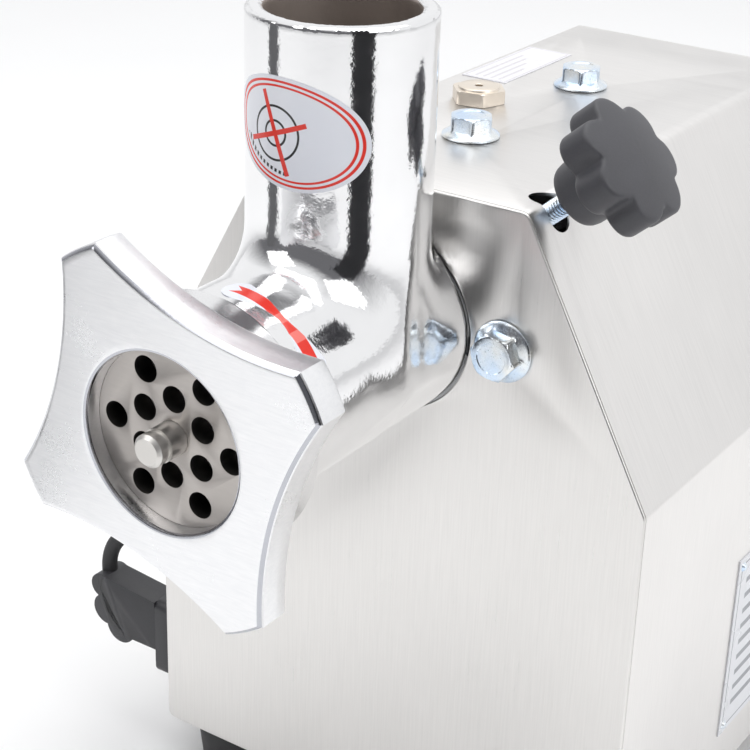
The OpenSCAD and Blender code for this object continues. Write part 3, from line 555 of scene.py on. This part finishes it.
# ---------------------------------------------------------------- the ring nut
NUT_FACE = -128.5
STAR_T = 14.0
TIP_R = 66.5
TIP_W = 17.0
WAIST_R = 46.2
NUT_OPEN_R = 31.0
SKIRT_R = 44.0
SKIRT_BACK = -103.0
STEP_Y = -122.0
NUT_TURN = math.radians(29.5)


def star_outline():
    """Tips with a slight crown, joined by hollow arcs."""
    half_tip = math.asin(TIP_W / 2 / TIP_R)
    side_half = math.pi / 4 - half_tip
    dx, dy = TIP_R * math.cos(side_half) - WAIST_R, TIP_R * math.sin(side_half)
    side_r = (dx * dx + dy * dy) / (2 * dx)
    sweep = math.asin(dy / side_r)
    points = []
    for k in range(4):
        tip = NUT_TURN + k * math.pi / 2
        for i in range(12):
            a = tip - half_tip + 2 * half_tip * i / 12
            points.append((TIP_R * math.cos(a), TIP_R * math.sin(a)))
        middle = tip + math.pi / 4
        cx, cy = (WAIST_R + side_r) * math.cos(middle), (WAIST_R + side_r) * math.sin(middle)
        for i in range(44):
            a = middle + math.pi + sweep * (1 - 2 * i / 44)
            points.append((cx + side_r * math.cos(a), cy + side_r * math.sin(a)))
    return points


def inset(points, distance):
    """A closed outline moved inwards."""
    out = []
    count = len(points)
    for i, (x, y) in enumerate(points):
        ax, ay = points[i - 1]
        bx, by = points[(i + 1) % count]
        first = Vector((x - ax, y - ay)).normalized()
        second = Vector((bx - x, by - y)).normalized()
        n1, n2 = Vector((-first.y, first.x)), Vector((-second.y, second.x))
        n = (n1 + n2).normalized()
        reach = distance / max(n.dot(n1), 0.5)
        out.append((x + n.x * reach, y + n.y * reach))
    return out


def make_ring_nut(m):
    outline = star_outline()
    angles = [math.atan2(y, x) for x, y in outline]

    def flat(points, z):
        return [(x, y, z) for x, y in points]

    def circle(r, z):
        return polar(angles, [r] * len(angles), z)

    def between_rings(a, b, t):
        return [tuple(p + (q - p) * t for p, q in zip(u, v)) for u, v in zip(a, b)]

    front = flat(inset(outline, 1.7), NUT_FACE + 0.05)
    lip = circle(NUT_OPEN_R + 1.2, NUT_FACE)
    rings = [
        circle(NUT_OPEN_R, STEP_Y), circle(NUT_OPEN_R, NUT_FACE + 1.3),
        circle(NUT_OPEN_R + 0.35, NUT_FACE + 0.35),
        lip, between_rings(lip, front, 0.06), between_rings(lip, front, 0.5), between_rings(lip, front, 0.94),
        front, flat(inset(outline, 1.45), NUT_FACE + 0.15), flat(inset(outline, 0.35), NUT_FACE + 1.3),
        flat(inset(outline, 0.0), NUT_FACE + 1.8), flat(outline, NUT_FACE + STAR_T * 0.5),
        flat(outline, NUT_FACE + STAR_T - 1.4), flat(inset(outline, 0.4), NUT_FACE + STAR_T - 0.4),
        flat(inset(outline, 1.4), NUT_FACE + STAR_T),
        circle(SKIRT_R + 1.6, NUT_FACE + STAR_T), circle(SKIRT_R + 0.5, NUT_FACE + STAR_T + 0.4),
        circle(SKIRT_R, NUT_FACE + STAR_T + 1.6), circle(SKIRT_R, SKIRT_BACK - 1.6),
        circle(SKIRT_R - 0.3, SKIRT_BACK - 0.5), circle(SKIRT_R - 1.0, SKIRT_BACK),
        circle(THREAD_R + 0.9, SKIRT_BACK), circle(THREAD_R + 0.3, SKIRT_BACK - 0.6),
        circle(THREAD_R + 0.3, STEP_Y)]
    verts, faces = loft(rings, HEAD, closed=True)
    piece = new_piece("four_point_ring_nut", verts, faces, "nut", m["nut_plating"], 28,
                      ("ring_nut",))
    piece.data.materials.append(m["edge_plating"])
    piece.data.materials.append(m["skirt_plating"])
    count = len(outline)
    edge_rings, skirt_rings = (1, 2, 8), range(15, 23)
    for face in piece.data.polygons:
        ring = min(face.vertices) // count
        if max(face.vertices) // count - ring > 1:
            ring = len(rings) - 1
        if ring in edge_rings:
            face.material_index = 1
        elif ring in skirt_rings:
            face.material_index = 2
    return piece


# ---------------------------------------------------------------- CAD shapes with rounded edges
def softened(node, name, width, body, material, segments=2, angle=35, smooth=35):
    """A copy of a CAD node's mesh with its edges rounded, standing for the node."""
    mesh = NODES[node].data.copy()
    mesh.name = name
    mesh.materials.clear()
    mesh.materials.append(material)
    piece = bpy.data.objects.new(name, mesh)
    bpy.context.scene.collection.objects.link(piece)
    bm = bmesh.new()
    bm.from_mesh(mesh)
    bmesh.ops.remove_doubles(bm, verts=bm.verts, dist=1e-6)
    bmesh.ops.dissolve_limit(bm, angle_limit=math.radians(0.5), verts=bm.verts, edges=bm.edges)
    bm.to_mesh(mesh)
    bm.free()
    mod = piece.modifiers.new("round", "BEVEL")
    mod.width = width * MM
    mod.segments = segments
    mod.limit_method = "ANGLE"
    mod.angle_limit = math.radians(angle)
    mod.harden_normals = False
    mod.use_clamp_overlap = True
    apply_modifiers(piece)
    shade(piece, smooth)
    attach(piece, body)
    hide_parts(node)
    return piece


def apply_modifiers(piece):
    depsgraph = bpy.context.evaluated_depsgraph_get()
    result = bpy.data.meshes.new_from_object(piece.evaluated_get(depsgraph))
    old = piece.data
    piece.modifiers.clear()
    piece.data = result
    result.name = old.name


# ---------------------------------------------------------------- knob and stud
HUB_T = 86.5
LOBES_T = 101.0
DOME_T = 117.0
DOME_R = 84.0
LOBE_COUNT = 7
LOBE_AT = 16.4
LOBE_R = 7.6
LOBE_TURN = math.radians(22.6)
STUD_END = 96.0
VALLEY_R = 17.4
HUB_R = 12.2


def lobed_radii(angles):
    """Round lobes with soft valleys between them."""
    def raw(a):
        best = VALLEY_R
        for k in range(LOBE_COUNT):
            d = a - LOBE_TURN - TURN * k / LOBE_COUNT
            inside = LOBE_R ** 2 - (LOBE_AT * math.sin(d)) ** 2
            if inside > 0 and math.cos(d) > 0:
                best = max(best, LOBE_AT * math.cos(d) + math.sqrt(inside))
        return best

    reach = 6
    weights = [1 - abs(k) / (reach + 1) for k in range(-reach, reach + 1)]
    step = angles[1] - angles[0]
    total = sum(weights)
    return [sum(w * raw(a + (i - reach) * step) for i, w in enumerate(weights)) / total for a in angles]


def make_clamp_knob(m):
    angles = even(280)
    outline = lobed_radii(angles)

    def circle(r, z):
        return polar(angles, [r] * len(angles), z)

    def lobed(shrink, z, towards_hub=0.0):
        return polar(angles, [(r - shrink) * (1 - towards_hub) + HUB_R * towards_hub for r in outline], z)

    def domed(shrink, share, drop):
        rings = [(share * (r - shrink), a) for r, a in zip(outline, angles)]
        return [(r * math.cos(a), r * math.sin(a), DOME_T - drop - r * r / (2 * DOME_R)) for r, a in rings]

    rings = [circle(4.1, STUD_END + 0.4), circle(4.1, HUB_T + 0.6), circle(5.0, HUB_T),
             circle(HUB_R - 1.8, HUB_T), circle(HUB_R - 0.9, HUB_T + 0.25), circle(HUB_R - 0.5, HUB_T + 1),
             circle(HUB_R - 0.1, HUB_T + 3), circle(HUB_R, LOBES_T - 1.6), circle(HUB_R + 0.3, LOBES_T - 0.5),
             lobed(0.6, LOBES_T - 0.02, 0.8), lobed(2.2, LOBES_T, 0.3),
             lobed(1.5, LOBES_T + 0.1), lobed(0.55, LOBES_T + 0.6), lobed(0.12, LOBES_T + 1.4),
             lobed(0, LOBES_T + 2.4), lobed(0, LOBES_T + 7)]
    rings += [domed(0, 1, 1.3), domed(0.08, 1, 0.85), domed(0.35, 1, 0.42), domed(0.8, 1, 0.16),
              domed(1.5, 1, 0.03),
              domed(2.4, 1, 0)]
    rings += [domed(2.4, share, 0) for share in (0.84, 0.66, 0.48, 0.3, 0.12)]
    verts, faces = loft(rings, STUD, cap_first=True, cap_last=True)
    return new_piece("seven_lobe_knob", verts, faces, "clamp", m["knob_plastic"], 45,
                     ("clamp_knob",))


def make_clamp_stud(m):
    """A rod with a real helical thread, from its tip at the spigot into the knob's hub."""
    radius, pitch, tip = 4.0, 1.25, 2.6
    low, high = 28.4, STUD_END
    count, per_pitch = 48, 10
    depth = 0.6 * pitch
    rows = int((high - low) / pitch * per_pitch)
    angles = even(count)
    rings = [polar(angles, [tip] * count, low - 0.9), polar(angles, [tip + 0.4] * count, low - 0.4)]
    for k in range(rows + 1):
        z = low + (high - low) * k / rows
        fade = min(1, (z - low) / pitch, (high - z) / pitch + 0.2)
        radii = []
        for a in angles:
            phase = (z / pitch - a / TURN) % 1
            tooth = abs(phase - 0.5) * 2
            radii.append(radius - depth * max(0.0, min(1, tooth * 1.25 - 0.1)) * fade)
        rings.append(polar(angles, radii, z))
    verts, faces = loft(rings, STUD, cap_first=True, cap_last=True)
    return new_piece("threaded_clamp_stud", verts, faces, "clamp", m["zinc"], 50, ("clamp_stud",))


# ---------------------------------------------------------------- bolts
def hex_radius(a, across):
    wedge = (a + math.pi / 6) % (math.pi / 3) - math.pi / 6
    return across / 2 / math.cos(wedge)


def bolt_mesh(matrix, flange_r, across, head_h, shank_r, shank_l, turn=0.0, dish=0.3):
    """Hexagon bolt with its own flange; z = 0 is the seat."""
    angles = [a + turn for a in even(96)]

    def circle(r, z):
        return polar(angles, [r] * 96, z)

    def hexagon(limit, z, shrink=0.0):
        return polar(angles, [min(hex_radius(a - turn, across) - shrink, limit) for a in angles], z)

    corner = across / math.sqrt(3)
    flat = across / 2
    rings = [circle(shank_r - 0.3, -shank_l), circle(shank_r, -shank_l + 0.5), circle(shank_r, 0.02),
             circle(flange_r - 0.5, 0.02), circle(flange_r, 0.35), circle(flange_r, 0.9),
             circle(flange_r - 0.35, 1.35), circle(flange_r - 1.0, 1.65), circle(flat + 1.3, 2.3),
             hexagon(corner - 0.15, 2.9), hexagon(corner - 0.08, head_h - 1.0),
             hexagon(corner - 0.45, head_h - 0.75), hexagon(flat + 0.35, head_h - 0.32),
             hexagon(flat - 0.05, head_h - 0.1), circle(flat - 0.5, head_h), circle(flat - 2.2, head_h),
             circle(flat - 2.5, head_h - dish), circle(flat - 4.5, head_h - dish)]
    return loft(rings, matrix, cap_first=True, cap_last=True)


def looking(origin, direction):
    """A frame at the origin given, with its z axis along the direction."""
    z = Vector(direction).normalized()
    helper = Vector((0, 0, 1)) if abs(z.z) < 0.9 else Vector((1, 0, 0))
    x = helper.cross(z).normalized()
    return basis(origin, x, z.cross(x), z)


def islands(node):
    """The lowest and highest corners of each separate solid in a CAD node."""
    bm = bmesh.new()
    bm.from_mesh(NODES[node].data)
    bmesh.ops.remove_doubles(bm, verts=bm.verts, dist=1e-6)
    bm.verts.ensure_lookup_table()
    seen, found = set(), []
    for start in bm.verts:
        if start.index in seen:
            continue
        stack, group = [start], []
        seen.add(start.index)
        while stack:
            v = stack.pop()
            group.append(v.co.copy())
            for e in v.link_edges:
                other = e.other_vert(v)
                if other.index not in seen:
                    seen.add(other.index)
                    stack.append(other)
        low = Vector([min(c[i] for c in group) for i in range(3)])
        high = Vector([max(c[i] for c in group) for i in range(3)])
        found.append((low, high))
    bm.free()
    return found


def make_bolts(m):
    roof = []
    for k, (low, high) in enumerate(islands("top_bolts")):
        centre = Vector(((low.x + high.x) / 2, (low.y + high.y) / 2, CASE_TOP))
        roof.append(bolt_mesh(looking(centre, (0, 0, 1)), 11.2, 15.4, 8.6, 5, 20, math.radians(3 - 6 * k)))
    verts, faces = join_meshes(roof)
    new_piece("roof_flange_bolts", verts, faces, "frame", m["zinc"], 32, ("top_bolts",))
    front = []
    for k, (low, high) in enumerate(islands("front_bolts")):
        centre = Vector(((low.x + high.x) / 2, PANEL_Y, (low.z + high.z) / 2))
        front.append(bolt_mesh(looking(centre, (0, -1, 0)), 11.6, 16, 8.8, 5, 20, math.radians(12 + 9 * k)))
    verts, faces = join_meshes(front)
    new_piece("front_flange_bolts", verts, faces, "frame", m["zinc"], 32, ("front_bolts",))


def make_oil_plug(m):
    low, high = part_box("oil_plug")
    centre = Vector(((low.x + high.x) / 2, (low.y + high.y) / 2, CASE_TOP))
    turn = math.radians(40)
    angles = [a + turn for a in even(96)]
    across = 11.4 * math.sqrt(3)

    def circle(r, z):
        return polar(angles, [r] * 96, z)

    def hexagon(limit, z):
        return polar(angles, [min(hex_radius(a - turn + math.pi / 6, across), limit) for a in angles], z)

    rings = [circle(7.6, -12), circle(8, -11.4), circle(8, 0.1), hexagon(11.0, 0.1), hexagon(11.3, 0.4),
             hexagon(11.35, 4.9), hexagon(11.1, 5.3), hexagon(10.7, 5.55), circle(9.5, 5.6),
             circle(8.6, 5.65), circle(8.3, 6.3), circle(7.8, 6.55), circle(2.4, 6.6), circle(1.6, 6.3),
             circle(1.5, 3)]
    verts, faces = loft(rings, looking(centre, (0, 0, 1)), cap_first=True, cap_last=True)
    new_piece("vented_oil_plug", verts, faces, "frame", m["brass"], 32, ("oil_plug",))


# ---------------------------------------------------------------- labels
def patch(name, rows, cols, place, body, material, replaces, thick=0.18):
    """A thin sheet over place(u, v) with u, v in 0..1; place gives (point, normal, uv)."""
    verts, faces, uvs = [], [], []
    for layer in (0.0, 1.0):
        for i in range(rows + 1):
            for j in range(cols + 1):
                point, normal, uv = place(i / rows, j / cols)
                verts.append(point + normal * layer * thick * MM)
                uvs.append(uv)
    size = (rows + 1) * (cols + 1)

    def idx(layer, i, j):
        return layer * size + i * (cols + 1) + j

    for i in range(rows):
        for j in range(cols):
            faces.append((idx(1, i, j), idx(1, i + 1, j), idx(1, i + 1, j + 1), idx(1, i, j + 1)))
            faces.append((idx(0, i, j), idx(0, i, j + 1), idx(0, i + 1, j + 1), idx(0, i + 1, j)))
    for i in range(rows):
        for j in (0, cols):
            faces.append((idx(0, i, j), idx(0, i + 1, j), idx(1, i + 1, j), idx(1, i, j)))
    for j in range(cols):
        for i in (0, rows):
            faces.append((idx(0, i, j), idx(0, i, j + 1), idx(1, i, j + 1), idx(1, i, j)))
    piece = new_piece(name, verts, faces, body, material, 60, replaces)
    layer = piece.data.uv_layers.new(name="face_mm")
    for loop in piece.data.loops:
        layer.data[loop.index].uv = uvs[loop.vertex_index]
    return piece


def ellipse_distance(u, v, a, b):
    """About the distance in millimetres outside an ellipse."""
    k = ((u / a).op("POWER", 2.0) + (v / b).op("POWER", 2.0)).op("SQRT")
    return (k - 1.0) * ((a + b) / 2)


RED = (0.80, 0.035, 0.02)
INK = (0.02, 0.02, 0.022)
VINYL = (0.80, 0.83, 0.90)
VINYL_PALE = (0.86, 0.87, 0.92)
OVAL_A = 28.3
OVAL_B = 18.4
CROSS_COS = 0.88
CROSS_SIN = 0.475


def oval_finish():
    """Two red borders, a plain target under a red cross, and a row of dashes."""
    f = Finish("oval_label_print", VINYL, 0.0, 0.22)
    u, v = f.uv()
    edge = ellipse_distance(u, v, OVAL_A, OVAL_B)
    outer = (edge + 2.0).abs().below(0.5, 0.15)
    inner = (edge + 3.9).abs().below(0.45, 0.15)
    cx, cy = u + 4.8, v + 1.0
    far = (cx * cx + cy * cy).op("SQRT")
    disc = (far - 9.0).abs().below(0.4, 0.15)
    small = (far - 4.2).abs().below(0.4, 0.15)
    along = (cx * CROSS_COS + cy * CROSS_SIN).abs()
    across = (cy * CROSS_COS - cx * CROSS_SIN).abs()
    bar_a = along.below(0.85, 0.15).minimum(across.below(14.5, 0.15))
    bar_b = across.below(0.85, 0.15).minimum(along.below(12.5, 0.15))
    dashes = ((u * 0.55).op("FRACT") - 0.5).abs().below(0.28, 0.1)
    lower_left = v.below(-6.0, 0.2).minimum(u.below(2.0, 0.2))
    lines = (edge + 6.4).abs().below(0.75, 0.2).minimum(lower_left).minimum(dashes)
    ink = disc.maximum(small).maximum(lines)
    red = outer.maximum(inner).maximum(bar_a).maximum(bar_b)
    sheen = f.noise(30, (1, 1, 1), 2, 0.5)
    base = f.mix(f.spread(sheen, 0, 1), VINYL, VINYL_PALE)
    f.paint(f.mix(red, f.mix(ink, base, INK), RED))
    f.rough(sheen, 0.18, 0.28)
    f.bump(f.noise(700, (1, 1, 1), 2, 0.5), 0.01, 0.4)
    return f.mat


def ribbon_finish():
    """A red ribbon with notched ends and two paler folds."""
    f = Finish("ribbon_label_print", VINYL, 0.0, 0.22)
    u, v = f.uv()
    across = (v - 0.3).abs()
    notch = u.abs() + across * -1.3
    ribbon = across.below(2.6, 0.15).minimum(notch.below(17.6, 0.2))
    pink = ((u - 7.4).abs().below(2.0, 0.2)).maximum((u + 0.6).abs().below(1.9, 0.2))
    sheen = f.noise(30, (1, 1, 1), 2, 0.5)
    red = f.mix(pink, RED, (0.90, 0.20, 0.17))
    base = f.mix(f.spread(sheen, 0, 1), VINYL, VINYL_PALE)
    f.paint(f.mix(ribbon, base, red))
    f.rough(sheen, 0.18, 0.28)
    f.bump(f.noise(700, (1, 1, 1), 2, 0.5), 0.01, 0.4)
    return f.mat


def print_finish(name, width, height, rows, base, ink, margin, border):
    """Rows of bars of changing length, and a border: a generic printed plate."""
    f = Finish(name, base, 0.0, 0.3)
    u, v = f.uv()
    pitch = (height - 2 * margin) / rows
    line = ((v - margin) / pitch).op("FRACT")
    row = ((v - margin) / pitch).op("FLOOR")
    length = (row * 12.9898).op("SINE").abs() * (width * 0.34) + width * 0.42
    bars = (line - 0.5).abs().below(0.17, 0.05)
    bars = bars.minimum(u.above(margin, 0.2)).minimum(u.below(length, 0.3))
    bars = bars.minimum(v.above(margin, 0.2)).minimum(v.below(height - margin, 0.2))
    du = (u - width / 2).abs() * -1.0 + width / 2
    dv = (v - height / 2).abs() * -1.0 + height / 2
    frame_line = (du.minimum(dv) - border).abs().below(0.35, 0.15)
    sheen = f.noise(40, (1, 1, 1), 2, 0.5)
    paper = f.mix(f.spread(sheen, 0, 1), base, tuple(min(1, c * 1.06) for c in base))
    f.paint(f.mix(bars.maximum(frame_line), paper, ink))
    f.rough(sheen, 0.22, 0.34)
    f.bump(f.noise(600, (1, 1, 1), 2, 0.5), 0.01, 0.4)
    return f.mat


def make_oval_label():
    """The oval on the feed tube, a little higher at its left end."""
    centre_angle, centre_z = math.radians(-87), 86.0
    tilt = math.radians(-8)
    lift = 0.06

    def oval(s, t):
        u, v = OVAL_A * s * math.cos(TURN * t), OVAL_B * s * math.sin(TURN * t)
        x = u * math.cos(tilt) - v * math.sin(tilt)
        z = u * math.sin(tilt) + v * math.cos(tilt)
        turn = centre_angle + x / TUBE_R
        normal = Vector((math.cos(turn), math.sin(turn), 0))
        point = at(0, TUBE_Y, centre_z + z) + normal * (TUBE_R + lift) * MM
        return point, normal, (u, v)

    patch("oval_tube_label", 14, 96, oval, "head", oval_finish(), ("tube_label",))


def make_ribbon_label():
    """The small label pressed onto the casting behind the nut."""
    low_a, high_a, y0, y1 = math.radians(27), math.radians(96), -95.6, -83.4
    half_v = (y1 - y0) / 2
    half_u = (high_a - low_a) / 2 * THREAD_R
    lift = 0.08

    def ribbon(s, t):
        angle = TURN * t
        straight = half_u - half_v
        u0 = math.cos(angle) * half_v + (straight if math.cos(angle) > 0 else -straight)
        u, v = u0 * s, math.sin(angle) * half_v * s
        turn = (low_a + high_a) / 2 - u / THREAD_R
        normal = Vector((math.cos(turn), 0, math.sin(turn)))
        y = (y0 + y1) / 2 + v
        r = THREAD_R
        for _ in range(14):
            f = float(head_field(np.array([r * normal.x]), np.array([y]), np.array([r * normal.z]))[0])
            r -= f * 0.9
        return at(r * normal.x, y, r * normal.z) + normal * lift * MM, normal, (u, v)

    patch("ribbon_head_label", 8, 96, ribbon, "head", ribbon_finish(), ("barrel_label",))


def make_rating_plate():
    low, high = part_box("rating_plate")
    size_y, size_z = (high.y - low.y) / MM, (high.z - low.z) / MM

    def rating(s, t):
        point = Vector((low.x, low.y + (high.y - low.y) * s, low.z + (high.z - low.z) * t))
        return point, Vector((1, 0, 0)), (s * size_y, t * size_z)

    plate, ink = (0.72, 0.73, 0.76), (0.30, 0.31, 0.34)
    finish = print_finish("rating_plate_print", size_y, size_z, 9, plate, ink, 9, 3)
    patch("printed_rating_plate", 2, 2, rating, "frame", finish, ("rating_plate",),
          (high.x - low.x) / MM)


def make_roof_label():
    low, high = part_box("roof_label")
    size_x, size_y = (high.x - low.x) / MM, (high.y - low.y) / MM

    def roof(s, t):
        point = Vector((low.x + (high.x - low.x) * s, low.y + (high.y - low.y) * t, low.z))
        return point, Vector((0, 0, 1)), (t * size_y, (1 - s) * size_x)

    paper, ink = (0.76, 0.76, 0.80), (0.62, 0.60, 0.63)
    finish = print_finish("roof_label_print", size_y, size_x, 4, paper, ink, 3, 1)
    patch("printed_roof_label", 2, 2, roof, "frame", finish, ("roof_label",),
          (high.z - low.z) / MM)


# ---------------------------------------------------------------- feet
def make_feet(m):
    """Tapered feet, each with a well for its screw's head."""
    parts = []
    for low, high in islands("rubber_feet"):
        centre = Vector(((low.x + high.x) / 2, (low.y + high.y) / 2, low.z))
        top = (high.z - low.z) / MM
        outline = [(6.4, 0), (15.6, 0), (17.6, top - 4), (17.6, top), (3.1, top), (3.1, 8), (6.4, 8)]
        parts.append(lathe(rounded_profile(outline, 1.2), looking(centre, (0, 0, 1)), 72, closed=True))
    verts, faces = join_meshes(parts)
    new_piece("tapered_rubber_feet", verts, faces, "frame", m["black_rubber"], 40,
              ("rubber_feet",))


# ---------------------------------------------------------------- CAD nodes kept or softened
HOLES_REACH = 33.0
KEPT = {
    "base_plate": "inner_steel", "foot_screws": "zinc", "rear_screws": "zinc", "rating_rivets": "zinc",
    "hub_socket": "cast_metal", "socket_screws": "dark_steel", "gearbox_housing": "cast_metal",
    "gearbox_cover": "cast_metal", "cover_gasket": "paper", "cover_screws": "dark_steel",
    "output_bearings": "dark_steel", "layshaft_bearings": "dark_steel", "motor_bearings": "dark_steel",
    "output_seal": "black_rubber", "motor_shell": "painted", "stator_core": "dark_steel",
    "stator_windings": "copper", "front_end_shield": "cast_metal", "rear_end_shield": "cast_metal",
    "motor_bolts": "zinc", "fan_cowl": "black_plastic", "motor_cradle": "inner_steel",
    "run_capacitor": "pale_plastic", "terminal_block": "pale_plastic", "switch_screws": "zinc",
    "motor_shaft": "dark_steel", "rotor_core": "dark_steel", "cooling_fan": "black_plastic",
    "layshaft": "dark_steel", "layshaft_gear": "dark_steel", "output_shaft": "dark_steel",
    "output_gear": "dark_steel", "plate_key": "dark_steel", "rear_bush": "bronze", "worm": "worm_plating",
    "thrust_washer": "pale_plastic", "cross_knife": "plate_steel", "switch_lead": "black_rubber"}


def dress_kept_nodes(m):
    for node, finish in KEPT.items():
        mesh = NODES[node].data
        mesh.materials.clear()
        mesh.materials.append(m[finish])
        mesh.polygons.foreach_set("use_smooth", [True] * len(mesh.polygons))
        mesh.set_sharp_from_angle(angle=math.radians(30))


def make_hole_plate(m):
    """The plate, with painted shade: the walls of its holes get a near-black finish that stands in for the
    shade inside the holes.
    """
    plate = softened("hole_plate", "ground_hole_plate", 0.3, "head", m["plate_steel"], 2)
    plate.data.materials.append(m["painted_shade_hole_wall"])
    for face in plate.data.polygons:
        p = (face.center - ORIGIN) / MM
        # painted shade: the hole walls near the axis take the near-black finish
        if abs(face.normal.y) < 0.2 and math.hypot(p.x, p.z) < HOLES_REACH:
            face.material_index = 1


def make_softened(m):
    softened("front_panel", "brushed_front_panel", 1.2, "frame", m["front_steel"], 3)
    softened("case_wrap", "brushed_case_wrap", 0.5, "frame", m["wrap_steel"], 2)
    softened("rear_panel", "brushed_rear_panel", 0.5, "frame", m["front_steel"], 2)
    make_hole_plate(m)
    softened("switch_base", "moulded_switch_base", 0.9, "frame", m["black_plastic"], 3)
    softened("switch_body", "moulded_switch_body", 0.8, "frame", m["black_plastic"], 3)
    softened("switch_rocker", "moulded_switch_rocker", 0.4, "rocker", m["black_plastic"], 2)
    softened("lead_gland", "moulded_lead_gland", 0.6, "frame", m["black_plastic"], 3)
    softened("mains_gland", "moulded_mains_gland", 0.6, "frame", m["black_plastic"], 3)


# ---------------------------------------------------------------- stage
FLOOR_REACH = 40.0
LOW_FRONT = (0.16, 0.16, 0.17)
ABOVE_AND_BEHIND = (0.97, 0.975, 0.985)


def make_floor():
    mesh = bpy.data.meshes.new("studio_floor")
    corners = [(x * FLOOR_REACH, y * FLOOR_REACH, 0) for x, y in ((-1, -1), (1, -1), (1, 1), (-1, 1))]
    mesh.from_pydata(corners, [], [(0, 1, 2, 3)])
    floor = bpy.data.objects.new("studio_floor", mesh)
    bpy.context.scene.collection.objects.link(floor)
    f = Finish("floor_white", (0.93, 0.93, 0.93), 0.0, 0.7)
    f.color(f.noise(3, (1, 1, 1), 2, 0.5), (0.92, 0.92, 0.92), (0.94, 0.94, 0.94))
    mesh.materials.append(f.mat)


def make_world():
    """Soft light all round, darker low in front of the machine."""
    world = bpy.data.worlds.new("studio")
    bpy.context.scene.world = world
    world.use_nodes = True
    tree = world.node_tree
    background = tree.nodes["Background"]
    background.inputs["Strength"].default_value = 1.0
    coords = tree.nodes.new("ShaderNodeTexCoord")
    split = tree.nodes.new("ShaderNodeSeparateXYZ")
    tree.links.new(coords.outputs["Generated"], split.inputs[0])
    y, z = Val(tree, split.outputs[1]), Val(tree, split.outputs[2])
    back = y.above(0.0, 0.7)
    up = z.above(0.75, 0.3)
    share = back.maximum(up)
    mix = tree.nodes.new("ShaderNodeMix")
    mix.data_type = "RGBA"
    mix.inputs[6].default_value = (*LOW_FRONT, 1)
    mix.inputs[7].default_value = (*ABOVE_AND_BEHIND, 1)
    tree.links.new(share.socket, mix.inputs[0])
    tree.links.new(mix.outputs[2], background.inputs["Color"])
    bpy.context.scene.view_settings.view_transform = "Standard"


CARD_CELLS = 6


def make_card(name, angle, width, distance, height, color):
    """A studio card that only shows as a reflection in bright metal."""
    middle = ORIGIN + Vector((0, TUBE_Y * MM, 0))
    out = Vector((math.cos(math.radians(angle)), math.sin(math.radians(angle)), 0))
    side = Vector((-out.y, out.x, 0))
    foot = Vector((middle.x, middle.y, 0)) + out * distance
    row = CARD_CELLS + 1
    verts = [foot + side * width * (i / CARD_CELLS - 0.5) + Vector((0, 0, height * j / CARD_CELLS + MM))
             for j in range(row) for i in range(row)]
    starts = [j * row + i for j in range(CARD_CELLS) for i in range(CARD_CELLS)]
    faces = [(k, k + 1, k + row + 1, k + row) for k in starts]
    mesh = bpy.data.meshes.new(name)
    mesh.from_pydata([tuple(v) for v in verts], [], faces)
    card = bpy.data.objects.new(name, mesh)
    bpy.context.scene.collection.objects.link(card)
    f = Finish(name, color, 0.0, 0.9)
    f.color(f.noise(8, (1, 1, 1), 2, 0.5), color, tuple(c * 1.1 for c in color))
    mesh.materials.append(f.mat)
    card.visible_camera = False
    card.visible_diffuse = False
    card.visible_shadow = False


LIT_MIDDLE = (0, -0.05, 0.1)


def soft_light(name, position, size, power):
    """A square area light aimed at the middle of the machine."""
    data = bpy.data.lights.new(name, "AREA")
    data.shape = "RECTANGLE"
    data.size = size
    data.size_y = size
    data.energy = power
    light = bpy.data.objects.new(name, data)
    bpy.context.scene.collection.objects.link(light)
    light.matrix_world = looking(Vector(position), Vector(position) - Vector(LIT_MIDDLE))


def make_lights():
    soft_light("key_softbox", (-1.0, -1.2, 1.8), 1.5, 12)
    soft_light("right_softbox", (1.7, -0.2, 1.5), 1.2, 8)
    soft_light("top_softbox", (0.0, 0.4, 2.2), 1.8, 16)


def main():
    make_camera()
    m = build_materials()
    make_head(m)
    make_ring_nut(m)
    make_clamp_knob(m)
    make_clamp_stud(m)
    make_bolts(m)
    make_oil_plug(m)
    make_oval_label()
    make_ribbon_label()
    make_rating_plate()
    make_roof_label()
    make_feet(m)
    make_softened(m)
    dress_kept_nodes(m)
    make_floor()
    make_world()
    make_card("dark_card", -31, 0.24, 0.52, 0.5, (0.01, 0.01, 0.012))
    make_card("left_card", -139, 0.12, 0.45, 0.4, (0.10, 0.10, 0.105))
    make_lights()


main()
